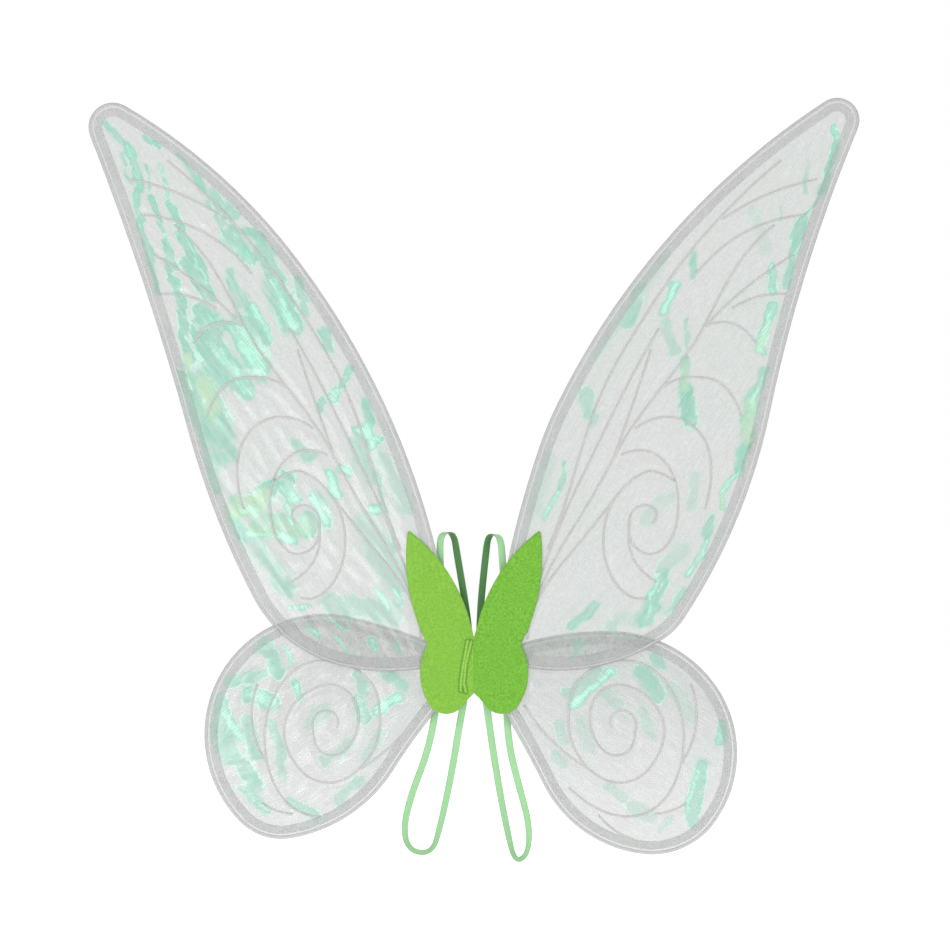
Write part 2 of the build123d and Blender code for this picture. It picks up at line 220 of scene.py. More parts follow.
# Arm loops: the route's points (x, depth from the back face, z) in millimetres, and the turn of
# the band's face at each, in degrees from facing forward
LEFT_STRAP_POINTS = (
    (-5.5, 2, -6, 180), (-4.6, 2, 20, 180), (-6.4, 2.2, 36, 180), (-9.5, 0, 56, 179), (-15, -3, 88, 176),
    (-18.5, -4, 110.5, 146), (-30.3, 4, 110, 34), (-31, 4, 90, 4), (-29, 2.5, 55, 0), (-31.5, 1.8, 5, 0),
    (-33.5, 1.8, -46, 0), (-42, 2, -88, -6), (-57.5, 3, -128, -14), (-64, 3.5, -158, -30),
    (-58, 2.5, -177, -52), (-38, -1.5, -179.5, -54), (-30.5, -2, -155, -30), (-20.5, -1, -108, -14),
    (-13, 0.5, -62, -6), (-8.5, 2, -38, 0), (-6, 2, -16, 0),
)
RIGHT_STRAP_POINTS = (
    (5.5, 2, -6, -180), (4.8, 2, 20, -180), (5.6, 2.2, 36, -180), (6.5, 0, 52, -179), (10.2, -3, 88, -176),
    (12.8, -4, 109, -146), (23.5, 4, 108, -34), (25.5, 4, 88, -4), (27.5, 2.5, 52, 0), (27, 1.8, 4, 0),
    (29, 1.8, -48, 0), (31.5, 2, -84, 6), (41.5, 3, -122, 14), (50, 3.5, -154, 28),
    (48.5, 3, -180, 52), (36.8, -1.5, -187.5, 54), (30.5, -2, -162, 30), (22, -1, -118, 14),
    (14, 0.5, -66, 6), (10.5, 2, -38, 0), (7, 2, -16, 0),
)
STRAPS = {"left": (LEFT_STRAP_POINTS, 0.5991), "right": (RIGHT_STRAP_POINTS, 0.5961)}

# Centre of the felt cover: the notches above and below, and two pressed creases, (x, z) in metres
NOTCH_TOP = 0.0165
NOTCH_FOOT = -0.034
CREASES = (
    ((-0.0058, 0.0135), (-0.0094, -0.0054), (-0.0117, -0.0207), (-0.0122, -0.0315)),
    ((-0.0026, 0.0125), (-0.0074, -0.007), (-0.0092, -0.0247), (-0.0074, -0.0325)),
)


class FilmSettings(bpy.types.PropertyGroup):
    """The wings' film, mesh and veins."""

    clear: FloatVectorProperty(name="Clear film", description="Colour of the film where nothing shines",
                               subtype="COLOR", size=3, min=0, max=1, default=(0.36, 0.385, 0.365))
    # Mint and warm are painted reflection, standing in for the film's iridescent sheen; glint is a painted
    # highlight on its creases.
    mint: FloatVectorProperty(name="Mint sheen", description="Colour that the film turns where it shines",
                              subtype="COLOR", size=3, min=0, max=1, default=(0.1, 0.47, 0.32))
    glint: FloatVectorProperty(name="Glint", description="Colour of the brightest creases",
                               subtype="COLOR", size=3, min=0, max=1, default=(0.36, 0.85, 0.62))
    warm: FloatVectorProperty(name="Warm sheen", description="Yellow-green tint of some patches",
                              subtype="COLOR", size=3, min=0, max=1, default=(0.3, 0.58, 0.31))
    vein: FloatVectorProperty(name="Veins", description="Colour of the raised veins",
                              subtype="COLOR", size=3, min=0, max=1, default=(0.48, 0.47, 0.46))
    cell: FloatProperty(name="Mesh cell", description="Spacing of the points of a sheet",
                        subtype="DISTANCE", unit="LENGTH", min=0.001, max=0.02, default=0.0025)
    crinkle: FloatProperty(name="Crinkle", description="How far the film stands off flat between its veins",
                           subtype="DISTANCE", unit="LENGTH", min=0, max=0.0025, default=0.0011)


class HemSettings(bpy.types.PropertyGroup):
    """The hems round the wings, and the wires in them."""

    colour: FloatVectorProperty(name="Hem", description="Colour of the folded hem",
                                subtype="COLOR", size=3, min=0, max=1, default=(0.54, 0.55, 0.54))
    coating: FloatVectorProperty(name="Wire coating", description="Colour of the coated wire",
                                 subtype="COLOR", size=3, min=0, max=1, default=(0.62, 0.61, 0.62))
    width: FloatProperty(name="Hem width", description="From the outer edge to the hem's inner edge",
                         subtype="DISTANCE", unit="LENGTH", min=0.006, max=0.02, default=0.012)
    step: FloatProperty(name="Hem step", description="Length of one section along the hem",
                        subtype="DISTANCE", unit="LENGTH", min=0.001, max=0.01, default=0.003)


class FeltSettings(bpy.types.PropertyGroup):
    """The felt covers at the hub."""

    lime: FloatVectorProperty(name="Lime felt", description="Colour of the felt",
                              subtype="COLOR", size=3, min=0, max=1, default=(0.145, 0.385, 0.032))
    thickness: FloatProperty(name="Felt thickness", description="Thickness of the cover's felt",
                             subtype="DISTANCE", unit="LENGTH", min=0.0008, max=0.003, default=0.0016)
    cell: FloatProperty(name="Felt cell", description="Spacing of the felt's points",
                        subtype="DISTANCE", unit="LENGTH", min=0.0008, max=0.01, default=0.0014)


class StrapSettings(bpy.types.PropertyGroup):
    """The elastic arm loops."""

    face: FloatVectorProperty(name="Elastic face", description="Colour of the band's outer face",
                              subtype="COLOR", size=3, min=0, max=1, default=(0.33, 0.64, 0.31))
    # The back colour is painted shade: the band's inner face stands in shadow inside the loop.
    back: FloatVectorProperty(name="Elastic back", description="Colour of the band's inner face",
                              subtype="COLOR", size=3, min=0, max=1, default=(0.052, 0.21, 0.04))
    width: FloatProperty(name="Band width", description="Width of the elastic",
                         subtype="DISTANCE", unit="LENGTH", min=0.003, max=0.02, default=0.0063)
    thickness: FloatProperty(name="Band thickness", description="Thickness of the elastic",
                             subtype="DISTANCE", unit="LENGTH", min=0.0004, max=0.003, default=0.0009)


class StageSettings(bpy.types.PropertyGroup):
    """Camera, light and floor."""

    lens: FloatProperty(name="Lens", description="Focal length in millimetres", min=20, max=300, default=100)
    frame_width: FloatProperty(name="View width", description="Width seen at the wings", subtype="DISTANCE",
                               unit="LENGTH", min=0.2, max=5, default=0.855)
    sky: FloatProperty(name="Sky", description="Strength of the white surroundings", min=0, max=5,
                       default=0.52)
    key: FloatProperty(name="Key light", description="Power of the main light in watts", min=0, max=500,
                       default=24)


def settings(group):
    """One of the add-on's property groups on the scene."""
    return getattr(bpy.context.scene, group)


def deselect():
    """Clear the selection."""
    bpy.ops.object.select_all(action="DESELECT")


def smooth(low, high, value):
    """0 below low, 1 above high, and smooth between them."""
    t = np.clip((value - low) / (high - low), 0, 1)
    return t * t * (3 - 2 * t)


def finish_piece(name, mesh, material, body):
    """Link a finished mesh as a piece that rides on a body."""
    piece = bpy.data.objects.new(name, mesh)
    bpy.context.scene.collection.objects.link(piece)
    mesh.materials.append(material)
    if body:
        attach(piece, body)
    return piece


def mesh_from(name, points, faces, smooth_faces=True):
    """A mesh from points and faces."""
    mesh = bpy.data.meshes.new(name)
    mesh.from_pydata([tuple(p) for p in points], [], [tuple(f) for f in faces])
    if smooth_faces:
        mesh.polygons.foreach_set("use_smooth", [True] * len(mesh.polygons))
    mesh.update()
    return mesh


def merged_copy(node):
    """A bmesh copy of a CAD node's mesh, with its loose triangles joined."""
    bm = bmesh.new()
    bm.from_mesh(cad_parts[node].data)
    bmesh.ops.remove_doubles(bm, verts=bm.verts, dist=SAME_CORNER)
    return bm


def front_faces(bm, depth):
    """The faces that lie at one depth and face forward."""
    return [f for f in bm.faces if f.normal.y < -0.9 and abs(f.calc_center_median().y - depth) < 2e-5]


def outline_of(node):
    """The outline of a flat CAD node's front, in order, as (x, z) points."""
    bm = merged_copy(node)
    fronts = front_faces(bm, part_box(node)[0].y)
    kept = set(fronts)
    after = {}
    for face in fronts:
        for loop in face.loops:
            if loop.link_loop_radial_next is loop or loop.link_loop_radial_next.face not in kept:
                after[loop.vert] = loop.link_loop_next.vert
    start = next(iter(after))
    ring = [start]
    while after[ring[-1]] is not start:
        ring.append(after[ring[-1]])
    points = np.array([(v.co.x, v.co.z) for v in ring])
    bm.free()
    return points


def spaced(points, step, closed=False):
    """Points an even step apart along a line."""
    line = np.vstack([points, points[:1]]) if closed else points
    run = np.concatenate([[0], np.cumsum(np.linalg.norm(np.diff(line, axis=0), axis=1))])
    count = max(2, int(round(run[-1] / step)))
    at = np.linspace(0, run[-1], count + 1)
    if closed:
        at = at[:-1]
    return np.stack([np.interp(at, run, line[:, i]) for i in range(line.shape[1])], axis=1)


def filled(ring, cell):
    """Triangles that fill an outline with an even net of points: (points, triangles, edge count)."""
    edge = spaced(ring, cell, closed=True)
    low, high = edge.min(0), edge.max(0)
    rise = cell * math.sqrt(3) / 2
    net = []
    for row in range(int((high[1] - low[1]) / rise) + 1):
        shift = (row % 2) * cell / 2
        across = np.arange(low[0] + shift, high[0], cell)
        net.append(np.stack([across, np.full(len(across), low[1] + row * rise)], axis=1))
    net = np.concatenate(net)
    a, b = edge, np.roll(edge, -1, axis=0)
    inside = np.zeros(len(net), bool)
    for (x1, z1), (x2, z2) in zip(a, b):
        if z1 == z2:
            continue
        crossing = (net[:, 1] < z1) != (net[:, 1] < z2)
        inside ^= crossing & (net[:, 0] < (x2 - x1) * (net[:, 1] - z1) / (z2 - z1) + x1)
    net = net[inside & (distance_to(net, edge) > cell * 0.55)]
    points = [Vector(p) for p in np.vstack([edge, net])]
    corners, _, triangles, _, _, _ = delaunay_2d_cdt(points, [], [list(range(len(edge)))], 1, 1e-7)
    return np.array([tuple(p) for p in corners]), triangles, len(edge)


def distance_to(points, line):
    """Each point's distance to a dense line's nearest point."""
    best = np.full(len(points), 1e9)
    for start in range(0, len(line), 64):
        gap = points[:, None, :] - line[None, start:start + 64, :]
        best = np.minimum(best, np.sqrt((gap ** 2).sum(2)).min(1))
    return best


def noise_at(points, scale, seed):
    """Smooth noise from -1 to 1 at each (x, z) point."""
    return np.array([noise.noise(Vector((x / scale[0], z / scale[1], seed))) for x, z in points])


def along_wing(points, wing):
    """Each point's place along and across a wing's long axis, in metres."""
    (x0, z0), (x1, z1) = WING_AXES[wing]
    axis = np.array((x1 - x0, z1 - z0))
    axis /= np.linalg.norm(axis)
    gap = points - np.array((x0, z0))
    return np.stack([gap @ axis, gap @ np.array((-axis[1], axis[0]))], axis=1)


def crinkle_height(points, wing, veins, inner_edge):
    """How far the film stands off flat: creases along an upper wing, dimples on a lower one."""
    place = along_wing(points, wing)
    if "upper" in wing:
        bent = place[:, 1] + 0.012 * noise_at(place, (0.12, 0.09), 3.1)
        folds = noise_at(np.stack([place[:, 0], bent], axis=1), (0.11, 0.013), 1.7)
        small = noise_at(place, (0.03, 0.008), 5.3)
    else:
        folds = noise_at(place, (0.034, 0.017), 2.9)
        small = noise_at(place, (0.013, 0.009), 6.1)
    height = np.clip(0.9 * (1 - 2 * np.abs(folds)) + 0.45 * small, -1, 1)
    held = np.array([veins.find_nearest(Vector((x, 0, z)))[3] for x, z in points])
    return height * smooth(0.0012, 0.007, held) * smooth(0.0, 0.01, inner_edge)


def vein_tree(wing):
    """A search tree of a wing's veins, pressed flat."""
    bm = merged_copy(f"{wing}_veins")
    for vert in bm.verts:
        vert.co.y = 0
    bmesh.ops.delete(bm, geom=[f for f in bm.faces if f.calc_area() < 1e-12], context="FACES_ONLY")
    tree = BVHTree.FromBMesh(bm)
    bm.free()
    return tree


def sheen_at(points, wing):
    """Where the film shines at each point: shape, glint, warm tint and strength."""
    millimetres = points * 1000
    drift = np.stack([noise_at(millimetres, (11, 11), 8.5), noise_at(millimetres, (11, 11), 19.5)], axis=1)
    moved = millimetres + SHEEN_DRIFT * drift
    shape, glint, warm, strength = np.zeros((4, len(points)))
    for x1, z1, x2, z2, half, amount, bright, tint in SHEEN[wing]:
        start, run = np.array((x1, z1)), np.array((x2 - x1, z2 - z1))
        gap = moved - start
        t = np.clip(gap @ run / max(run @ run, 1e-6), 0, 1)
        reach = np.linalg.norm(gap - t[:, None] * run, axis=1) / half
        inside = np.clip(1.5 - reach, 0, 1)
        shape = np.maximum(shape, inside)
        strength = np.maximum(strength, amount * smooth(1.9, 0.8, reach))
        glint = np.maximum(glint, bright * np.clip(1.25 - reach, 0, 1))
        warm = np.maximum(warm, tint * smooth(1.5, 0.4, reach))
    return np.stack([shape, glint, warm, strength], axis=1)


def store_colours(mesh, name, values):
    """Keep four numbers at each point as a colour attribute."""
    layer = mesh.color_attributes.new(name, "FLOAT_COLOR", "POINT")
    layer.data.foreach_set("color", np.asarray(values, np.float32).ravel())


def store_uv(mesh, name, places):
    """Keep each point's place in a pattern, in metres, as a UV map."""
    layer = mesh.uv_layers.new(name=name)
    corners = np.zeros(len(mesh.loops), np.int32)
    mesh.loops.foreach_get("vertex_index", corners)
    layer.data.foreach_set("uv", np.asarray(places, np.float32)[corners].ravel())


def loft(rings, closed_line=False, capped=True):
    """Faces that join rings of equally many points in order, with both ends capped."""
    count = len(rings[0])
    points = np.concatenate(rings)
    faces = []
    last = len(rings) if closed_line else len(rings) - 1
    for i in range(last):
        a, b = i * count, ((i + 1) % len(rings)) * count
        for j in range(count):
            k = (j + 1) % count
            faces.append((a + j, a + k, b + k, b + j))
    if capped and not closed_line:
        faces.append(tuple(reversed(range(count))))
        faces.append(tuple((len(rings) - 1) * count + j for j in range(count)))
    return points, faces


# Materials


def new_group(name, inputs, outputs):
    """An empty shader node group with named sockets: (group, input node, output node)."""
    group = bpy.data.node_groups.new(name, "ShaderNodeTree")
    for socket, kind, value in inputs:
        made = group.interface.new_socket(name=socket, in_out="INPUT", socket_type=kind)
        if value is not None:
            made.default_value = value
    for socket, kind in outputs:
        group.interface.new_socket(name=socket, in_out="OUTPUT", socket_type=kind)
    return group, group.nodes.new("NodeGroupInput"), group.nodes.new("NodeGroupOutput")


class Nodes:
    """Short ways to add and join nodes in one node tree."""

    def __init__(self, tree):
        self.tree = tree

    def add(self, kind, **values):
        """Add a node and set its plain properties."""
        node = self.tree.nodes.new(kind)
        for key, value in values.items():
            setattr(node, key, value)
        return node

    def join(self, source, target):
        """Link an output, or set a plain value, on an input."""
        if isinstance(source, bpy.types.NodeSocket):
            self.tree.links.new(source, target)
        else:
            target.default_value = source

    def sum(self, operation, *terms):
        """The result of a Math node."""
        node = self.add("ShaderNodeMath", operation=operation)
        for socket, term in zip(node.inputs, terms):
            self.join(term, socket)
        return node.outputs[0]

    def ramp(self, value, low, high):
        """0 to 1, smoothly, as a value goes from low to high."""
        node = self.add("ShaderNodeMapRange", interpolation_type="SMOOTHSTEP", clamp=True)
        self.join(value, node.inputs["Value"])
        node.inputs["From Min"].default_value = low
        node.inputs["From Max"].default_value = high
        return node.outputs["Result"]

    def blend(self, factor, first, second):
        """A mix of two colours."""
        node = self.add("ShaderNodeMix", data_type="RGBA", clamp_factor=True)
        self.join(factor, node.inputs["Factor"])
        self.join(first, node.inputs["A"] if "A" in node.inputs else node.inputs[6])
        self.join(second, node.inputs["B"] if "B" in node.inputs else node.inputs[7])
        return node.outputs[2]

    def noise(self, vector, scale, detail=2.0, roughness=0.5, size=1.0):
        """A Noise Texture's value, with the vector scaled first."""
        place = self.add("ShaderNodeMapping")
        place.inputs["Scale"].default_value = scale
        self.join(vector, place.inputs["Vector"])
        node = self.add("ShaderNodeTexNoise")
        self.join(place.outputs[0], node.inputs["Vector"])
        node.inputs["Scale"].default_value = size
        node.inputs["Detail"].default_value = detail
        node.inputs["Roughness"].default_value = roughness
        return node.outputs["Fac"] if "Fac" in node.outputs else node.outputs[0]


def rgba(colour):
    """A colour with full alpha."""
    return (*colour, 1.0)


def weave_group():
    """Woven threads: value and height over two directions in metres, at a given count per metre."""
    if "cloth_weave" in bpy.data.node_groups:
        return bpy.data.node_groups["cloth_weave"]
    group, inside, outside = new_group(
        "cloth_weave",
        (("Vector", "NodeSocketVector", None), ("Threads", "NodeSocketFloat", 800.0)),
        (("Value", "NodeSocketFloat"), ("Height", "NodeSocketFloat")),
    )
    n = Nodes(group)
    split = n.add("ShaderNodeSeparateXYZ")
    n.join(inside.outputs["Vector"], split.inputs[0])
    waves = []
    for axis in (0, 1):
        turn = n.sum("MULTIPLY", split.outputs[axis], inside.outputs["Threads"])
        wave = n.sum("SINE", n.sum("MULTIPLY", turn, FULL_TURN))
        waves.append(n.sum("MULTIPLY_ADD", wave, 0.5, 0.5))
    over = n.sum("MULTIPLY", waves[0], waves[1])
    height = n.sum("MAXIMUM", waves[0], waves[1])
    n.join(over, outside.inputs["Value"])
    n.join(height, outside.inputs["Height"])
    return group


def sheen_group():
    """Iridescent film: colour, alpha and crinkle height from the painted sheen."""
    if "film_sheen" in bpy.data.node_groups:
        return bpy.data.node_groups["film_sheen"]
    group, inside, outside = new_group(
        "film_sheen",
        (
            ("Sheen", "NodeSocketColor", None), ("Strength", "NodeSocketFloat", 0.0),
            ("Place", "NodeSocketVector", None), ("Position", "NodeSocketVector", None),
            ("Clear", "NodeSocketColor", None), ("Mint", "NodeSocketColor", None),
            ("Glint", "NodeSocketColor", None), ("Warm", "NodeSocketColor", None),
            ("Streak", "NodeSocketFloat", 1.0),
        ),
        (("Colour", "NodeSocketColor"), ("Alpha", "NodeSocketFloat"), ("Height", "NodeSocketFloat")),
    )
    n = Nodes(group)
    split = n.add("ShaderNodeSeparateColor")
    n.join(inside.outputs["Sheen"], split.inputs[0])
    shape, glint, warm = split.outputs[0], split.outputs[1], split.outputs[2]
    streak = n.noise(inside.outputs["Place"], (22, 170, 1), 3.0, 0.6)
    fleck = n.noise(inside.outputs["Position"], (240, 240, 240), 3.0, 0.65)
    cloud = n.noise(inside.outputs["Position"], (26, 26, 26), 3.0, 0.55)
    haze = n.noise(inside.outputs["Position"], (9, 9, 9), 2.0, 0.5)
    fine = n.noise(inside.outputs["Place"], (60, 620, 1), 2.0, 0.6)
    streaky = n.sum("MULTIPLY", n.sum("SUBTRACT", streak, 0.5),
                    n.sum("MULTIPLY", inside.outputs["Streak"], 1.7))
    flecky = n.sum("MULTIPLY", n.sum("SUBTRACT", fleck, 0.5), 0.75)
    ragged = n.sum("ADD", shape, n.sum("ADD", streaky, flecky))
    body = n.ramp(ragged, 0.22, 0.95)
    # Painted highlight: a bright rim along the edge of each patch of painted sheen.
    rim_glint = n.sum("MULTIPLY", n.ramp(ragged, 0.44, 0.56), n.sum("SUBTRACT", 1.0, n.ramp(ragged, 0.58, 0.78)))
    place = n.add("ShaderNodeSeparateXYZ")
    n.join(inside.outputs["Position"], place.inputs[0])
    slant = n.sum("SUBTRACT", place.outputs[0], place.outputs[2])
    slant = n.sum("ADD", slant, n.sum("MULTIPLY", haze, 0.004))
    wave = n.sum("SINE", n.sum("MULTIPLY", slant, FULL_TURN / MOIRE_SPACING))
    lines = n.sum("MULTIPLY_ADD", wave, 0.5, 0.5)
    lined = n.sum("MULTIPLY", lines, n.ramp(cloud, 0.4, 0.56))
    amount = n.sum("MULTIPLY", body, inside.outputs["Strength"])
    amount = n.sum("MULTIPLY", amount, n.sum("MULTIPLY_ADD", lined, -0.5, 1.0))
    amount = n.sum("MULTIPLY", amount, n.sum("MULTIPLY_ADD", n.ramp(fine, 0.3, 0.62), 0.7, 0.6))
    amount = n.sum("MULTIPLY", amount, n.sum("MULTIPLY_ADD", n.ramp(cloud, 0.3, 0.62), 0.35, 0.65))
    milky = n.blend(n.sum("MULTIPLY", n.ramp(n.sum("ADD", n.sum("MULTIPLY", fine, 0.5),
                                                   n.sum("MULTIPLY", fleck, 0.5)), 0.35, 0.65), 0.4),
                    inside.outputs["Clear"], (0.6, 0.62, 0.61, 1))
    # A faint painted mint sheen over the whole film.
    base = n.blend(n.sum("MULTIPLY", n.ramp(haze, 0.35, 0.7), 0.1), milky, inside.outputs["Mint"])
    tint = n.blend(n.ramp(n.sum("ADD", warm, n.sum("MULTIPLY", flecky, 0.6)), 0.2, 0.9),
                   inside.outputs["Mint"], inside.outputs["Warm"])
    deep = n.blend(n.sum("MULTIPLY", n.ramp(streak, 0.45, 0.7), 0.4), tint, (0.03, 0.3, 0.22, 1))
    colour = n.blend(amount, base, deep)
    # Painted glints: where the glint field and streaks are strong, the colour turns the glint colour and the
    # film grows more opaque.
    sparkle = n.sum("MULTIPLY_ADD", n.sum("SUBTRACT", fine, 0.5), 1.1, n.sum("ADD", streaky, flecky))
    spark = n.sum("MULTIPLY", n.ramp(n.sum("ADD", glint, sparkle), 0.45, 1.25), 0.9)
    rim_glint = n.sum("MULTIPLY", rim_glint, n.ramp(cloud, 0.42, 0.6))
    shine = n.sum("MAXIMUM", spark,
                  n.sum("MULTIPLY", rim_glint, n.sum("MULTIPLY", inside.outputs["Strength"], 0.75)))
    colour = n.blend(n.sum("MULTIPLY", shine, n.sum("MULTIPLY_ADD", lined, -0.3, 1.0)), colour,
                     inside.outputs["Glint"])
    alpha = n.sum("MULTIPLY_ADD", amount, 0.27, n.sum("MULTIPLY_ADD", fleck, 0.16, 0.42))
    alpha = n.sum("MAXIMUM", alpha, n.sum("MULTIPLY", shine, 0.74))
    n.join(colour, outside.inputs["Colour"])
    n.join(alpha, outside.inputs["Alpha"])
    height = n.sum("ADD", n.sum("MULTIPLY", streak, 0.7), n.sum("MULTIPLY", cloud, 0.5))
    n.join(n.sum("ADD", height, n.sum("MULTIPLY", fleck, 0.12)), outside.inputs["Height"])
    return group


def start_material(name, **values):
    """A new node material: (material, its nodes, its Principled shader) with plain values set."""
    material = bpy.data.materials.new(name)
    material.use_nodes = True
    shader = material.node_tree.nodes["Principled BSDF"]
    for socket, value in values.items():
        shader.inputs[socket.replace("_", " ")].default_value = value
    return material, Nodes(material.node_tree), shader


def bump(n, shader, height, distance, strength=1.0):
    """Join a height to a shader's normal."""
    node = n.add("ShaderNodeBump")
    node.inputs["Strength"].default_value = strength
    node.inputs["Distance"].default_value = distance
    n.join(height, node.inputs["Height"])
    n.join(node.outputs[0], shader.inputs["Normal"])


def film_material(streak):
    """Clear film with painted sheen: mint, aqua and yellow-green painted reflection, and painted glints."""
    made = settings("wing_film")
    name = "film_streaked" if streak > 0.5 else "film_dimpled"
    if name in bpy.data.materials:
        return bpy.data.materials[name]
    material, n, shader = start_material(name, Roughness=0.2, IOR=1.5, Specular_IOR_Level=0.5)
    sheen = n.add("ShaderNodeAttribute", attribute_name="sheen")
    uv = n.add("ShaderNodeUVMap", uv_map="wing_axis")
    where = n.add("ShaderNodeTexCoord")
    node = n.add("ShaderNodeGroup")
    node.node_tree = sheen_group()
    n.join(sheen.outputs["Color"], node.inputs["Sheen"])
    n.join(sheen.outputs["Alpha"], node.inputs["Strength"])
    n.join(uv.outputs[0], node.inputs["Place"])
    n.join(where.outputs["Object"], node.inputs["Position"])
    shade = 1 if streak > 0.5 else LOWER_FILM_SHADE
    node.inputs["Clear"].default_value = rgba([c * shade for c in made.clear])
    node.inputs["Mint"].default_value = rgba(made.mint)
    node.inputs["Glint"].default_value = rgba(made.glint)
    node.inputs["Warm"].default_value = rgba(made.warm)
    node.inputs["Streak"].default_value = streak
    n.join(node.outputs["Colour"], shader.inputs["Base Color"])
    n.join(node.outputs["Alpha"], shader.inputs["Alpha"])
    bump(n, shader, node.outputs["Height"], 0.0012, 0.35)
    return material


def mesh_material():
    """Fine open organza behind the film."""
    if "organza_mesh" in bpy.data.materials:
        return bpy.data.materials["organza_mesh"]
    material, n, shader = start_material("organza_mesh", Roughness=0.6)
    where = n.add("ShaderNodeTexCoord")
    turn = n.add("ShaderNodeMapping")
    turn.inputs["Rotation"].default_value = (math.radians(-90), 0, 0)
    n.join(where.outputs["Object"], turn.inputs["Vector"])
    weave = n.add("ShaderNodeGroup")
    weave.node_tree = weave_group()
    weave.inputs["Threads"].default_value = MESH_THREADS
    n.join(turn.outputs[0], weave.inputs["Vector"])
    patch = n.noise(where.outputs["Object"], (60, 60, 60), 2.0)
    shade = n.blend(patch, (0.58, 0.575, 0.58, 1), (0.68, 0.69, 0.68, 1))
    n.join(shade, shader.inputs["Base Color"])
    n.join(n.sum("MULTIPLY_ADD", weave.outputs["Height"], 0.22, 0.06), shader.inputs["Alpha"])
    bump(n, shader, weave.outputs["Height"], 0.0002, 0.5)
    return material


def vein_material():
    """Raised, rubbery grey lines."""
    made = settings("wing_film")
    material, n, shader = start_material("raised_veins", Roughness=0.35, Alpha=0.6)
    where = n.add("ShaderNodeTexCoord")
    patch = n.noise(where.outputs["Object"], (90, 90, 90), 3.0)
    shade = n.blend(patch, rgba(made.vein), rgba([min(1, c * 1.3) for c in made.vein]))
    n.join(shade, shader.inputs["Base Color"])
    bump(n, shader, n.noise(where.outputs["Object"], (1500, 1500, 1500), 2.0), 0.0001, 0.4)
    return material


def hem_material():
    """Folded, pressed cloth with fine lines along it."""
    made = settings("wing_hem")
    material, n, shader = start_material("hem_cloth", Roughness=0.42, Sheen_Weight=0.15)
    uv = n.add("ShaderNodeUVMap", uv_map="hem")
    where = n.add("ShaderNodeTexCoord")
    weave = n.add("ShaderNodeGroup")
    weave.node_tree = weave_group()
    weave.inputs["Threads"].default_value = HEM_THREADS
    n.join(uv.outputs[0], weave.inputs["Vector"])
    patch = n.noise(where.outputs["Object"], (45, 45, 45), 3.0)
    grain = n.noise(where.outputs["Object"], (700, 700, 700), 2.0)
    shade = n.blend(n.ramp(patch, 0.3, 0.7), rgba([c * 0.9 for c in made.colour]),
                    rgba([min(1, c * 1.08) for c in made.colour]))
    shade = n.blend(n.sum("MULTIPLY", weave.outputs["Value"], 0.2), shade, (0.4, 0.4, 0.4, 1))
    split = n.add("ShaderNodeSeparateXYZ")
    n.join(uv.outputs[0], split.inputs[0])
    across = split.outputs[1]
    wave = n.sum("SINE", n.sum("MULTIPLY", across, FULL_TURN / HEM_FOLD_SPACING))
    folds = n.sum("MULTIPLY_ADD", wave, 0.5, 0.5)
    shade = n.blend(n.sum("MULTIPLY", n.sum("MULTIPLY", folds, folds), 0.35), shade, (0.3, 0.31, 0.3, 1))
    # Painted sheen: a faint mint tint on the hem where the film's painted sheen lies near it.
    sheen = n.add("ShaderNodeAttribute", attribute_name="sheen")
    shape = n.add("ShaderNodeSeparateColor")
    n.join(sheen.outputs["Color"], shape.inputs[0])
    uneven = n.sum("MULTIPLY", n.sum("SUBTRACT", patch, 0.5), 0.6)
    lit = n.ramp(n.sum("ADD", shape.outputs[0], uneven), 0.3, 0.9)
    lit = n.sum("MULTIPLY", n.sum("MULTIPLY", lit, sheen.outputs["Alpha"]), 0.16)
    shade = n.blend(lit, shade, rgba(settings("wing_film").mint))
    edge = n.sum("SUBTRACT", 1.0, n.ramp(across, 0.0003, 0.0012))
    shade = n.blend(n.sum("MULTIPLY", edge, 0.45), shade, (0.25, 0.25, 0.25, 1))
    n.join(shade, shader.inputs["Base Color"])
    alpha = n.sum("MULTIPLY_ADD", n.ramp(patch, 0.2, 0.8), 0.1, 0.28)
    alpha = n.sum("ADD", alpha, n.sum("MULTIPLY", grain, 0.1))
    n.join(n.sum("MULTIPLY_ADD", edge, 0.3, alpha), shader.inputs["Alpha"])
    bump(n, shader, n.sum("ADD", weave.outputs["Height"], grain), 0.00025, 0.5)
    return material


